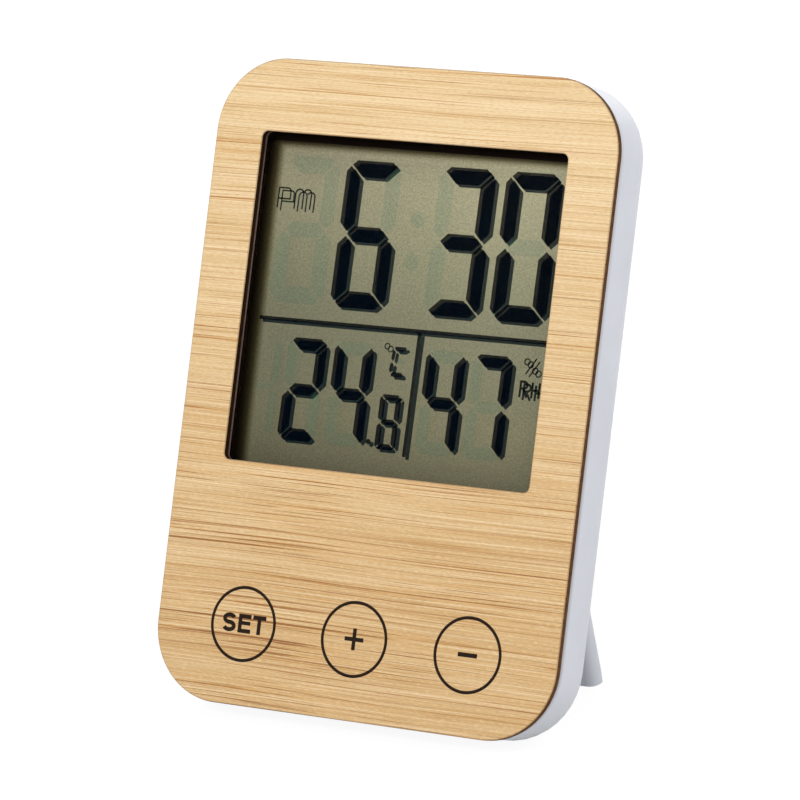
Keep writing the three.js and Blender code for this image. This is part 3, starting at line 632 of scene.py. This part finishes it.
SCREWS = [f"{kind}_screw_{number}" for kind in ("case", "board") for number in range(1, 5)]
NODE_FINISHES = (
    (LENS, ["display_lens"]),
    (REFLECTOR, ["lcd_reflector"]),
    (TAPE, ["adhesive_sheet"]),
    (FOAM, ["display_cushion", "touch_pad_set", "touch_pad_plus", "touch_pad_minus"]),
    (RUBBER, ["display_connector"]),
    (BOARD, ["main_board"]),
    (EPOXY, ["controller_blob"]),
    (WHITE, ["climate_sensor"]),
    (BRASS, ["buzzer"]),
    (STEEL, ["crystal", "coin_cell", "battery_contact_negative", "battery_contact_positive", *SCREWS]),
)


def finish_nodes():
    for material, names in NODE_FINISHES:
        for name in names:
            mesh = NODES[name].data
            mesh.materials.clear()
            mesh.materials.append(material)


# Mesh helpers

def in_scene(name, data):
    made = bpy.data.objects.new(name, data)
    bpy.context.scene.collection.objects.link(made)
    return made


def piece_with(name, mesh, body):
    """Puts a mesh in the scene as a piece that rides on a body."""
    piece = in_scene(name, mesh)
    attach(piece, body)
    return piece


def piece_from(name, shape, material, body="case"):
    """Turns a bmesh in case millimetres into a piece in its place."""
    bmesh.ops.recalc_face_normals(shape, faces=shape.faces)
    mesh = bpy.data.meshes.new(name)
    shape.to_mesh(mesh)
    shape.free()
    mesh.transform(CASE)
    mesh.materials.append(material)
    return piece_with(name, mesh, body)


def shade_smooth(piece, angle):
    """Smooth curves with flat faces kept flat: corners sharper than the angle stay sharp."""
    piece.data.shade_smooth()
    piece.data.set_sharp_from_angle(angle=radians(angle))
    weighted = piece.modifiers.new("flat faces", "WEIGHTED_NORMAL")
    weighted.keep_sharp = True


def oval(x, y, across, up, start, end, steps):
    """Points on an oval from start to end in degrees, with half its width and half its height."""
    angles = [radians(start + (end - start) * i / steps) for i in range(steps + 1)]
    return [(x + across * cos(a), y + up * sin(a)) for a in angles]


def arc(x, y, radius, start, end, steps):
    return oval(x, y, radius, radius, start, end, steps)


def rounded_outline(width, height, corner, y=0.0, steps=24):
    """Rounded rectangle, counter-clockwise from its right edge."""
    across, up = width / 2 - corner, height / 2 - corner
    points = []
    for quarter, (side_x, side_y) in enumerate(((1, 1), (-1, 1), (-1, -1), (1, -1))):
        points += arc(side_x * across, y + side_y * up, corner, 90 * quarter, 90 * quarter + 90, steps)
    return points


def loop_of(shape, points, z):
    return [shape.verts.new((x, y, z)) for x, y in points]


def join_loops(shape, first, second):
    """Quads between two closed loops with as many points."""
    for i in range(len(first)):
        j = (i + 1) % len(first)
        shape.faces.new((first[i], first[j], second[j], second[i]))


def prism(shape, points, z, thickness=FILM):
    """A flat closed solid with that outline."""
    back, front = loop_of(shape, points, z - thickness / 2), loop_of(shape, points, z + thickness / 2)
    join_loops(shape, back, front)
    shape.faces.new(list(reversed(back)))
    shape.faces.new(front)


def washer(shape, outer, inner, z, thickness=FILM):
    """A flat closed solid between two outlines with as many points."""
    loops = [loop_of(shape, points, z + side * thickness / 2)
             for points, side in ((outer, -1), (outer, 1), (inner, 1), (inner, -1))]
    for first, second in zip(loops, loops[1:] + loops[:1]):
        join_loops(shape, first, second)


def ribbon(points, width):
    """Outline of a stroke of even width along an open line, with mitred bends."""
    sides = ([], [])
    for i, (x, y) in enumerate(points):
        before = Vector(points[i]) - Vector(points[i - 1]) if i else None
        after = Vector(points[i + 1]) - Vector(points[i]) if i + 1 < len(points) else None
        before = (before or after).normalized()
        after = (after or before).normalized()
        bisector = (before + after).normalized()
        normal = Vector((-bisector.y, bisector.x))
        reach = width / 2 / max(0.5, normal.dot(Vector((-before.y, before.x))))
        for side, sign in zip(sides, (1, -1)):
            side.append((x + sign * reach * normal.x, y + sign * reach * normal.y))
    return sides[0] + sides[1][::-1]


# Bamboo face

EDGE_STEPS = 4
WINDOW_STEPS = 8
FACE_SHARP_ANGLE = 50


def edge_profile():
    """Inset and depth round the back and front edges of the sheet, from the back to the front."""
    angles = [radians(90 * i / EDGE_STEPS) for i in range(EDGE_STEPS + 1)]
    front = [(FACE_EDGE * (1 - cos(a)), -FACE_EDGE * (1 - sin(a))) for a in angles]
    back = [(inset, -FACE_THICKNESS - depth) for inset, depth in reversed(front)]
    return back + front


def bamboo_face():
    shape = bmesh.new()
    rim, window = [], []
    for inset, z in edge_profile():
        grown = 2 * inset
        outer = rounded_outline(FACE_WIDTH - grown, FACE_HEIGHT - grown, FACE_CORNER - inset)
        inner = rounded_outline(
            WINDOW_WIDTH + grown, WINDOW_HEIGHT + grown, WINDOW_CORNER + inset, WINDOW_Y, WINDOW_STEPS)
        rim.append(loop_of(shape, outer, z))
        window.append(loop_of(shape, inner, z))
    for loops in (rim, window):
        for first, second in zip(loops, loops[1:]):
            join_loops(shape, first, second)
    for end in (0, -1):
        edges = []
        for loop in (rim[end], window[end]):
            edges += [shape.edges.get((loop[i], loop[i - 1])) for i in range(len(loop))]
        bmesh.ops.triangle_fill(shape, edges=edges, use_beauty=True)
    piece = piece_from("bamboo_face", shape, BAMBOO)
    piece.data.materials.append(CUT_EDGE)
    for face in piece.data.polygons:
        face.material_index = int(abs(face.normal.dot(FRONT)) < 0.5)
    shade_smooth(piece, FACE_SHARP_ANGLE)
    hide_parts("bamboo_faceplate")


# Marks printed over the touch keys

KEY_CENTRE = (0.08, -45.0)
KEY_STEP = (23.9, -0.125)
KEY_RING_RADIUS = 6.73
KEY_RING_LINE = 0.58
RING_STEPS = 96
KEY_MARK = 4.0
PLUS_LINE = 0.76
MINUS_LINE = 0.80
CAPS_HEIGHT = 3.5
CAPS_LINE = 0.78
INK_THICKNESS = 0.02


def key_place(number):
    """Centre of a key, with 0 in the middle."""
    return KEY_CENTRE[0] + number * KEY_STEP[0], KEY_CENTRE[1] + number * KEY_STEP[1]


def ring_tree():
    """Geometry nodes that draw evenly spaced printed rings in a row."""
    tree = bpy.data.node_groups.new("key rings", "GeometryNodeTree")
    new_socket(tree, "Geometry", "Geometry", "OUTPUT")
    kinds = {
        "Radius": "Float", "Line": "Float", "Thickness": "Float", "Count": "Int",
        "First": "Vector", "Step": "Vector", "Ink": "Material",
    }
    for title, kind in kinds.items():
        new_socket(tree, title, kind)
    given = add(tree, "NodeGroupInput").outputs

    def step(kind, inputs):
        return add(tree, "GeometryNode" + kind, inputs).outputs[0]

    circle = step("CurvePrimitiveCircle", {"Radius": given["Radius"], "Resolution": RING_STEPS})
    section = step("CurvePrimitiveQuadrilateral", {"Width": given["Line"], "Height": given["Thickness"]})
    ring = step("CurveToMesh", {"Curve": circle, "Profile Curve": section})
    row = step("MeshLine", {
        "Count": given["Count"], "Start Location": given["First"], "Offset": given["Step"]})
    placed = step("InstanceOnPoints", {"Points": row, "Instance": ring})
    real = step("RealizeInstances", {"Geometry": placed})
    inked = step("SetMaterial", {"Geometry": real, "Material": given["Ink"]})
    feed(add(tree, "NodeGroupOutput").inputs["Geometry"], inked)
    return tree


def grown_mesh(name, tree, values):
    """Runs a geometry tree with its named inputs set and returns the plain mesh that it makes."""
    holder = in_scene(name, bpy.data.meshes.new(name + "_seed"))
    modifier = holder.modifiers.new("grow", "NODES")
    modifier.node_group = tree
    sockets = {item.name: item.identifier for item in tree.interface.items_tree
               if item.item_type == "SOCKET" and item.in_out == "INPUT"}
    for title, value in values.items():
        modifier[sockets[title]] = value
    shown = holder.evaluated_get(bpy.context.evaluated_depsgraph_get())
    mesh = bpy.data.meshes.new_from_object(shown)
    bpy.data.objects.remove(holder)
    mesh.name = name
    return mesh


def key_rings():
    mesh = grown_mesh("key_rings", ring_tree(), {
        "Radius": KEY_RING_RADIUS, "Line": KEY_RING_LINE, "Thickness": INK_THICKNESS, "Count": 3,
        "First": (*key_place(-1), INK_THICKNESS / 2), "Step": (*KEY_STEP, 0), "Ink": INK})
    mesh.transform(CASE)
    piece_with("key_rings", mesh, "case")


def letter_s(left, bottom, width, height, line):
    """A bold plain S as one stroke round two bowls."""
    x = left + width / 2
    bowl_x = (width - line) / 2
    bowl_y = (height - line) / 4
    top, low = bottom + height - line / 2 - bowl_y, bottom + line / 2 + bowl_y
    upper = oval(x, top, bowl_x, bowl_y, 20, 270, steps=20)
    lower = oval(x, low, bowl_x, bowl_y, 90, -160, steps=20)
    return ribbon(upper[:-1] + lower[1:], line)


def letter_e(left, bottom, width, height, line):
    right, top, middle = left + width, bottom + height, bottom + height * 0.53
    stem, arm = left + line, line / 2 * 0.9
    return [
        (left, bottom), (right, bottom), (right, bottom + line), (stem, bottom + line),
        (stem, middle - arm), (right - 0.15, middle - arm), (right - 0.15, middle + arm),
        (stem, middle + arm), (stem, top - line), (right - 0.05, top - line), (right - 0.05, top),
        (left, top),
    ]


def letter_t(left, bottom, width, height, line):
    right, top, middle = left + width, bottom + height, left + width / 2
    return [
        (middle - line / 2, bottom), (middle + line / 2, bottom), (middle + line / 2, top - line),
        (right, top - line), (right, top), (left, top), (left, top - line),
        (middle - line / 2, top - line),
    ]


# Each letter with its left edge and its width
LETTERS = ((letter_s, -28.33, 2.91), (letter_e, -24.92, 2.75), (letter_t, -21.83, 2.83))
CAPS_RISE = 0.07


def key_marks():
    shape = bmesh.new()
    level = INK_THICKNESS / 2
    bottom = key_place(-1)[1] + CAPS_RISE - CAPS_HEIGHT / 2
    for letter, left, width in LETTERS:
        prism(shape, letter(left, bottom, width, CAPS_HEIGHT, CAPS_LINE), level, INK_THICKNESS)
    x, y = key_place(0)
    half, line = KEY_MARK / 2, PLUS_LINE / 2
    plus = []
    for turn in range(4):
        c, s = round(cos(turn * pi / 2)), round(sin(turn * pi / 2))
        arm = ((half, -line), (half, line), (line, line))
        plus += [(x + px * c - py * s, y + px * s + py * c) for px, py in arm]
    prism(shape, plus, level, INK_THICKNESS)
    x, y = key_place(1)
    line = MINUS_LINE / 2
    prism(shape, bar(x - half, x + half, y - line, y + line), level, INK_THICKNESS)
    piece_from("key_marks", shape, INK)


# Display: lit and idle segments, and the shadows of the lit ones on the film behind

DISPLAY_LEAN = 0.0143
DISPLAY_RISE = 0.0067
LEAN_HEIGHT = 28.0
SHADOW_SHIFT = Vector((0.30, -0.44))

SEGMENTS_OF = {
    "0": "abcdef", "2": "abged", "3": "abgcd", "4": "fgbc",
    "6": "afgedc", "7": "abc", "8": "abcdefg",
}


def segment_outlines(width, height, stroke, middle, chamfer, gap):
    """Outlines of the seven segments in a cell whose top left corner is (0, 0), by letter."""
    half, skew = height / 2, gap / sqrt(8)
    out_near, out_far = chamfer / 2 - skew, chamfer / 2 + skew
    inner = stroke + 1.4 * gap
    top = [(out_far, -out_near), (chamfer + skew, 0), (width - chamfer - skew, 0),
           (width - out_far, -out_near), (width - inner, -stroke), (inner, -stroke)]
    tip_x, tip_y = stroke / 2, half - gap * 1.4
    shoulder = tip_y - stroke / 2
    upper_left = [(out_near, -out_far), (0, -(chamfer + skew)), (0, -shoulder), (tip_x, -tip_y),
                  (stroke, -shoulder), (stroke, -(stroke + 0.8 * gap))]
    centre_x, arm = stroke / 2 + gap * 0.6, middle / 2
    far_x = width - centre_x
    centre = [(centre_x, -half), (centre_x + arm, -half + arm), (far_x - arm, -half + arm),
              (far_x, -half), (far_x - arm, -half - arm), (centre_x + arm, -half - arm)]

    def flip(points, across=False, down=False):
        return [(width - x if across else x, -height - y if down else y) for x, y in points]

    return {
        "a": top, "d": flip(top, down=True), "g": centre,
        "f": upper_left, "b": flip(upper_left, across=True),
        "e": flip(upper_left, down=True), "c": flip(upper_left, across=True, down=True),
    }


BIG = {"width": 11.8, "height": 27.3, "stroke": 3.1, "middle": 2.9, "chamfer": 2.0, "gap": 0.32}
MEDIUM = {"width": 8.4, "height": 19.1, "stroke": 2.3, "middle": 2.15, "chamfer": 1.4, "gap": 0.26}
SMALL = {"width": 4.45, "height": 10.2, "stroke": 1.1, "middle": 1.05, "chamfer": 0.7, "gap": 0.16}
BIG_TOP, MEDIUM_TOP, SMALL_TOP = 42.55, 9.0, 0.10
DIGITS = [
    ("6", -16.22, BIG_TOP, BIG), ("3", 3.72, BIG_TOP, BIG), ("0", 17.62, BIG_TOP, BIG),
    ("2", -23.8, MEDIUM_TOP, MEDIUM), ("4", -13.73, MEDIUM_TOP, MEDIUM),
    ("4", 5.8, MEDIUM_TOP, MEDIUM), ("7", 15.6, MEDIUM_TOP, MEDIUM),
    ("8", -2.75, SMALL_TOP, SMALL),
]
LEADING_LEFT = -29.5
LEADING_SEGMENTS = "abcdeg"


def digit_shapes():
    lit, idle = [], []
    for figure, left, top, form in DIGITS:
        for letter, points in segment_outlines(**form).items():
            placed = [(left + x, top + y) for x, y in points]
            (lit if letter in SEGMENTS_OF[figure] else idle).append(placed)
    leading = segment_outlines(**BIG)
    for letter in LEADING_SEGMENTS:
        idle.append([(LEADING_LEFT + x, BIG_TOP + y) for x, y in leading[letter]])
    return lit, idle


def bar(x0, x1, y0, y1):
    return [(x0, y0), (x1, y0), (x1, y1), (x0, y1)]


def dot(x, y, radius, steps=20):
    return arc(x, y, radius, 0, 360, steps)[:-1]


def afternoon_mark():
    """PM in thin strokes."""
    line, low, high = 0.3, 32.7, 36.45
    letter_p = [(-30.27, low), (-30.27, high)] + arc(-28.3, high - 0.62, 0.62, 90, 0, 6)
    letter_p += [(-27.68, high - 2.0), (-30.27 + line / 2, high - 2.0)]
    arches = []
    for left, right in ((-26.6, -24.87), (-24.87, -23.17)):
        middle, radius = (left + right) / 2, (right - left) / 2
        start = [(left, low)] if left < -26 else []
        crown = arc(middle, high - 0.05 - radius, radius, 180 if start else 150, 0, 10)
        arches.append(start + crown + [(right, low)])
    return [ribbon(points, line) for points in [letter_p, *arches]]


def percent_mark():
    """The percent sign's stroke, and its two rings as centre, radius and line."""
    stroke = ribbon([(26.78, 6.15), (28.68, 9.05)], 0.28)
    return [stroke], [(26.85, 8.38, 0.55, 0.25), (28.68, 6.84, 0.55, 0.25)]


def humidity_mark():
    """RH beside the humidity, cut short by the window's edge."""
    line, low, high = 0.44, 1.9, 4.75
    stem, post, far_post = 26.1, 28.55, 30.0
    middle, bowl = (low + high) / 2, 0.62
    letter_r = [(stem, low), (stem, high)] + arc(stem + 0.75, high - bowl, bowl, 90, -90, 8)
    letter_r += [(stem + line / 2, high - 2 * bowl)]
    leg = [(stem + 0.65, high - 2 * bowl - line / 2), (stem + 1.5, low)]
    shapes = [ribbon(letter_r, line), ribbon(leg, line)]
    shapes += [bar(x - line / 2, x + line / 2, low, high) for x in (post, far_post)]
    shapes.append(bar(post + line / 2, far_post - line / 2, middle - line / 2, middle + line / 2))
    return shapes


def degree_mark():
    """The leaf-shaped strokes of the degree sign's C, and the ring before it."""
    strokes = [
        [(-0.95, 8.95), (1.3, 8.95), (1.45, 8.55), (0.65, 8.1), (-0.6, 8.1), (-1.05, 8.6)],
        [(-1.2, 8.35), (-0.75, 7.95), (-0.85, 6.75), (-1.15, 6.25), (-1.55, 6.75), (-1.45, 8.05)],
        [(-1.25, 6.0), (-0.85, 5.55), (-0.95, 4.45), (-1.45, 4.1), (-1.75, 4.6), (-1.6, 5.7)],
        [(-1.3, 3.85), (-0.85, 4.25), (0.9, 4.25), (1.4, 3.75), (1.1, 3.35), (-1.05, 3.4)],
    ]
    idle = [[(-0.6, 6.2), (-0.2, 6.55), (1.05, 6.55), (1.45, 6.2), (1.05, 5.8), (-0.2, 5.8)]]
    return strokes, idle, [(-2.7, 8.88, 0.52, 0.22)]


def display_content():
    lit, idle = digit_shapes()
    percent, percent_rings = percent_mark()
    degree, degree_idle, degree_rings = degree_mark()
    lit += percent + afternoon_mark() + humidity_mark() + degree
    idle += degree_idle
    lit += [bar(-30.9, 32.0, 11.76, 12.46), bar(3.4, 4.15, -11.0, 11.74), dot(-4.12, -8.85, 0.5)]
    idle += [dot(0.2, 32.4, 1.5), dot(0.1, 24.6, 1.5), bar(-29.8, -26.5, -1.1, -0.1)]
    idle += [[(-26.6, 7.6), (-26.2, 8.0), (-25.0, 6.8), (-25.0, 0.6), (-25.8, -0.2), (-26.6, 0.6)],
             [(-26.6, -8.9), (-26.2, -9.3), (-25.0, -8.1), (-25.0, -1.9), (-25.8, -1.1), (-26.6, -1.9)]]
    return lit, idle, percent_rings + degree_rings


def on_display(points, shift=Vector((0, 0))):
    """The display sits a little askew in its frame."""
    return [(x + DISPLAY_LEAN * (y - LEAN_HEIGHT) + shift.x, y + DISPLAY_RISE * x + shift.y)
            for x, y in points]


def light_passes(piece):
    """Clear layers let all light through to what lies under them."""
    piece.visible_shadow = False
    piece.visible_diffuse = False


def display_layer(name, outlines, rings, level, material, shift=Vector((0, 0))):
    shape = bmesh.new()
    for points in outlines:
        prism(shape, on_display(points, shift), level)
    for x, y, radius, line in rings:
        outer, inner = dot(x, y, radius + line / 2), dot(x, y, radius - line / 2)
        washer(shape, on_display(outer, shift), on_display(inner, shift), level)
    light_passes(piece_from(name, shape, material))


def display_segments():
    lit, idle, rings = display_content()
    display_layer("lit_segments", lit, rings, SEGMENT_LEVEL, LIT)
    display_layer("idle_segments", idle, [], SEGMENT_LEVEL, IDLE)
    display_layer("segment_shadows", lit, rings, SHADOW_LEVEL, SHADOW, SHADOW_SHIFT)


def display_cell():
    """The two sheets of display glass, sealed into one cell with its contact ledge."""
    front_low, front_high = case_box("lcd_front_glass")
    rear_low = case_box("lcd_rear_glass")[0]
    section = [
        (front_high.y, front_high.z), (front_high.y, rear_low.z), (rear_low.y, rear_low.z),
        (rear_low.y, front_low.z), (front_low.y, front_low.z), (front_low.y, front_high.z),
    ]
    shape = bmesh.new()
    ends = [[shape.verts.new((x, y, z)) for y, z in section] for x in (front_low.x, front_high.x)]
    join_loops(shape, *ends)
    shape.faces.new(ends[0])
    shape.faces.new(list(reversed(ends[1])))
    piece = piece_from("display_cell", shape, CELL)
    light_passes(piece)
    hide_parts("lcd_front_glass", "lcd_rear_glass")


# Mouldings: merged copies of the CAD pieces with eased corners

MERGE_DISTANCE, CUT_DISTANCE = 0.002, 0.001
FLAT_ANGLE = 0.4
EASED_ANGLE = 40
EASED_STEPS = 2


def moulding(node, material, ease, before=None):
    """A merged copy of a CAD piece with its corners eased; before may first reshape the copy."""
    shape = bmesh.new()
    shape.from_mesh(NODES[node].data)
    bmesh.ops.remove_doubles(shape, verts=shape.verts, dist=MERGE_DISTANCE * MM)
    bmesh.ops.dissolve_limit(shape, angle_limit=radians(FLAT_ANGLE), verts=shape.verts,
                             edges=shape.edges, delimit={"NORMAL"})
    if before:
        before(shape)
    mesh = bpy.data.meshes.new(node)
    shape.to_mesh(mesh)
    shape.free()
    mesh.materials.append(material)
    piece = in_scene(node + "_moulded", mesh)
    bevel = piece.modifiers.new("eased corners", "BEVEL")
    bevel.width = ease * MM
    bevel.segments = EASED_STEPS
    bevel.limit_method = "ANGLE"
    bevel.angle_limit = radians(EASED_ANGLE)
    bevel.use_clamp_overlap = True
    shade_smooth(piece, EASED_ANGLE)
    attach(piece, body_of(node))
    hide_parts(node)


def body_of(node):
    bodies = frame["record"]["behaviour"]["bodies"]
    return next(body for body, members in bodies.items() if node in members)


STAND_HALF_THICKNESS = 1.4
STAND_INNER_ROUND, STAND_OUTER_ROUND = 2.2, 0.5
ROUND_STEPS = (0, 18, 34, 48, 60, 70, 80)
ROUND_FROM, ROUND_FULL = 3.0, 8.0


def fall_of_round(reach, radius):
    """How far an edge rounded to a radius has dropped, at some reach past the start of its curve."""
    share = min(1.0, max(0.0, reach / radius))
    return radius * (1 - sqrt(1 - share * share))


def round_stand_sides(shape):
    """Rounds the stand's long sides in cross-section, more inside than outside, clear of its hinge."""
    joint = JOINTS["stand_hinge"]
    hinge, opening = Vector(joint["pos_m"]), radians(-joint["range_deg"][0])
    leg_up = CASE_TURN @ Vector((0, cos(opening), sin(opening)))
    leg_in = RIGHT.cross(leg_up)
    side = max(abs(vertex.co.x) for vertex in shape.verts
               if (vertex.co - hinge).yz.length > ROUND_FULL * MM) / MM
    start = side - STAND_INNER_ROUND

    def cut(point, normal):
        everything = shape.verts[:] + shape.edges[:] + shape.faces[:]
        bmesh.ops.bisect_plane(
            shape, geom=everything, dist=CUT_DISTANCE * MM, plane_co=point, plane_no=normal)

    for angle in ROUND_STEPS:
        x = (start + STAND_INNER_ROUND * sin(radians(angle))) * MM
        cut((x, 0, 0), RIGHT)
        cut((-x, 0, 0), RIGHT)
    for drop in (ROUND_FROM, (ROUND_FROM + ROUND_FULL) / 2, ROUND_FULL):
        cut(hinge - leg_up * drop * MM, leg_up)
    for vertex in shape.verts:
        place = (vertex.co - hinge) / MM
        along, across = place.dot(leg_up), place.dot(leg_in)
        reach = abs(vertex.co.x) / MM - start
        if reach <= 0 or along > -ROUND_FROM:
            continue
        fade = min(1.0, (-along - ROUND_FROM) / (ROUND_FULL - ROUND_FROM))
        outer_reach = reach - STAND_INNER_ROUND + STAND_OUTER_ROUND
        inner = STAND_HALF_THICKNESS - fade * fall_of_round(reach, STAND_INNER_ROUND)
        outer = fade * fall_of_round(outer_reach, STAND_OUTER_ROUND) - STAND_HALF_THICKNESS
        share = (across + STAND_HALF_THICKNESS) / (2 * STAND_HALF_THICKNESS)
        vertex.co += leg_in * (outer + (inner - outer) * share - across) * MM


def mouldings():
    moulding("rear_housing", SHELL, 0.15)
    moulding("battery_cover", WHITE, 0.15)
    moulding("stand", WHITE, 0.2, before=round_stand_sides)
    moulding("front_chassis", WHITE, 0.1)
    moulding("display_bezel", BLACK, 0.1)


# Printed marks that show which way the twist cover turns

COVER_PLACE = CASE.inverted() @ Vector(cover_joint["pos_m"])
BACK_LEVEL = case_box("rear_housing")[0].z
LOCKED_ANGLE = 90.0
UNLOCKED_ANGLE = LOCKED_ANGLE - cover_joint["range_deg"][1]
MARK_CIRCLE = 16.8
MARK_LINE = 0.45
MARK_DOT = 0.85
MARK_STEPS = 28
ARROW_STEPS = 14
ARROW_HALF_WIDTH = 1
ARROW_TAIL, ARROW_NECK, ARROW_TIP = 7, 11, 5.5
POINTER_TIP, POINTER_BASE, POINTER_SPREAD = 11.2, 9.4, 6


def round_cover(angle, radius):
    """Point on a circle about the twist cover, at an angle in degrees from the case's right."""
    a = radians(angle)
    return COVER_PLACE.x + radius * cos(a), COVER_PLACE.y + radius * sin(a)


def turn_arrow():
    """Curved arrow from the locked towards the unlocked mark."""
    tail = LOCKED_ANGLE - ARROW_TAIL
    neck, tip = UNLOCKED_ANGLE + ARROW_NECK, UNLOCKED_ANGLE + ARROW_TIP
    centre, half = (COVER_PLACE.x, COVER_PLACE.y), MARK_LINE / 2
    outer = arc(*centre, MARK_CIRCLE + half, tail, neck, ARROW_STEPS)
    inner = arc(*centre, MARK_CIRCLE - half, neck, tail, ARROW_STEPS)
    barbs = [round_cover(neck, MARK_CIRCLE + side * ARROW_HALF_WIDTH) for side in (1, -1)]
    return outer + [barbs[0], round_cover(tip, MARK_CIRCLE), barbs[1]] + inner


def back_marks(name, body, outlines, rings=()):
    shape = bmesh.new()
    level = BACK_LEVEL - INK_THICKNESS / 2
    for points in outlines:
        prism(shape, points, level, INK_THICKNESS)
    for centre, radius in rings:
        outer = dot(*centre, radius + MARK_LINE / 2, MARK_STEPS)
        inner = dot(*centre, radius - MARK_LINE / 2, MARK_STEPS)
        washer(shape, outer, inner, level, INK_THICKNESS)
    piece_from(name, shape, PRINT, body)


def cover_marks():
    locked = dot(*round_cover(LOCKED_ANGLE, MARK_CIRCLE), MARK_DOT, MARK_STEPS)
    unlocked = (round_cover(UNLOCKED_ANGLE, MARK_CIRCLE), MARK_DOT - MARK_LINE / 2)
    back_marks("turn_marks", "case", [turn_arrow(), locked], [unlocked])
    pointer = [round_cover(LOCKED_ANGLE, POINTER_TIP)]
    pointer += [round_cover(LOCKED_ANGLE + side * POINTER_SPREAD, POINTER_BASE) for side in (1, -1)]
    back_marks("cover_pointer", "battery_cover", [pointer])


# Studio, with its lengths in metres: white surroundings, soft lamps and a floor that keeps the shadow

AMBIENT = 0.33
FLOOR_SIZE = 4.0
FLOOR_BOUNCE = 0.6
FLOOR_SHADE = 0.14
# The floor's own brightness near the object and far off, and the distances between which it changes
GLOW_NEAR, GLOW_FAR = 0.91, 1.0
GLOW_FROM, GLOW_FULL = 0.18, 0.6
FLAG_SIZE = 0.26
FLAG_DISTANCE = 0.6
# Each lamp's name, azimuth and elevation in degrees, distance, size, and power in watts
LAMPS = (
    ("key", -20.5, 36.4, 0.8, 0.28, 3.32),
    ("side", 92, 32, 0.6, 0.36, 1.37),
    ("fill", 48, 8, 0.7, 0.5, 0.90),
    ("back", 185, 30, 1.1, 0.8, 4.2),
)


def seen_directly(tree):
    """1 for what the camera sees, also in a mirror or through glass."""
    path = add(tree, "ShaderNodeLightPath").outputs
    mirrored = calc(tree, "MAXIMUM", path["Is Glossy Ray"], path["Is Transmission Ray"])
    return calc(tree, "MAXIMUM", path["Is Camera Ray"], mirrored)


def make_world():
    world = bpy.data.worlds.new("white studio")
    world.use_nodes = True
    tree = world.node_tree
    extra = calc(tree, "MULTIPLY", seen_directly(tree), 1.0 - AMBIENT)
    background = tree.nodes["Background"]
    background.inputs["Color"].default_value = (1, 1, 1, 1)
    feed(background.inputs["Strength"], calc(tree, "ADD", AMBIENT, extra))
    bpy.context.scene.world = world


def square_sheet(name, size, material):
    half = size / 2
    mesh = bpy.data.meshes.new(name)
    corners = [(-half, -half, 0), (half, -half, 0), (half, half, 0), (-half, half, 0)]
    mesh.from_pydata(corners, [], [(0, 1, 2, 3)])
    mesh.materials.append(material)
    return in_scene(name, mesh)


def make_floor():
    """White to the camera but for the object's shadow, and grey to the light that it throws back."""
    material = bpy.data.materials.new("pale_floor")
    material.use_nodes = True
    tree = material.node_tree
    tree.nodes.remove(tree.nodes["Principled BSDF"])
    bounce, shadow = [
        add(tree, "ShaderNodeBsdfDiffuse", {"Color": (level, level, level, 1)}).outputs[0]
        for level in (FLOOR_BOUNCE, FLOOR_SHADE)]
    away = vector_calc(tree, "LENGTH", add(tree, "ShaderNodeTexCoord").outputs["Object"])
    glow = spread(tree, away, GLOW_FROM, GLOW_FULL, GLOW_NEAR, GLOW_FAR)
    white = add(tree, "ShaderNodeEmission", {"Color": (1, 1, 1, 1), "Strength": glow}).outputs[0]
    shown = add(tree, "ShaderNodeAddShader", {0: shadow, 1: white}).outputs[0]
    mixed = add(tree, "ShaderNodeMixShader", {0: seen_directly(tree), 1: bounce, 2: shown}).outputs[0]
    tree.links.new(mixed, tree.nodes["Material Output"].inputs["Surface"])
    floor = square_sheet("floor", FLOOR_SIZE, material)


def turn_back_to(thing, direction):
    """Turns a lamp or card so that its back lies in a direction."""
    thing.rotation_mode = "QUATERNION"
    thing.rotation_quaternion = (-direction).to_track_quat("-Z", "Y")


def soft_lamp(name, azimuth, elevation, distance, size, power):
    """A square softbox, turned to the object's middle."""
    data = bpy.data.lights.new(name, "AREA")
    data.shape = "SQUARE"
    data.size = size
    data.energy = power
    lamp = in_scene(name, data)
    towards = look_from(azimuth, elevation)
    lamp.location = FACE_CENTRE + towards * distance
    turn_back_to(lamp, towards)
    lamp.visible_camera = False


def make_flag():
    """A black card out of sight, so that the lens mirrors no white towards the camera."""
    centre = CASE @ Vector((0, WINDOW_Y, 0))
    outward = (bpy.context.scene.camera.location - centre).normalized()
    mirrored = 2 * outward.dot(FRONT) * FRONT - outward
    black = principled("black_card", specular_ior_level=0.0, base_color=(0, 0, 0, 1))[0]
    flag = square_sheet("flag", FLAG_SIZE, black)
    flag.location = centre + mirrored * FLAG_DISTANCE
    turn_back_to(flag, mirrored)
    flag.visible_camera = flag.visible_diffuse = flag.visible_shadow = False


def make_studio():
    make_world()
    make_floor()
    for lamp in LAMPS:
        soft_lamp(*lamp)
    make_flag()
    bpy.context.scene.view_settings.view_transform = "Standard"


make_camera()
finish_nodes()
bamboo_face()
key_rings()
key_marks()
display_cell()
display_segments()
light_passes(NODES["display_lens"])
mouldings()
cover_marks()
make_studio()
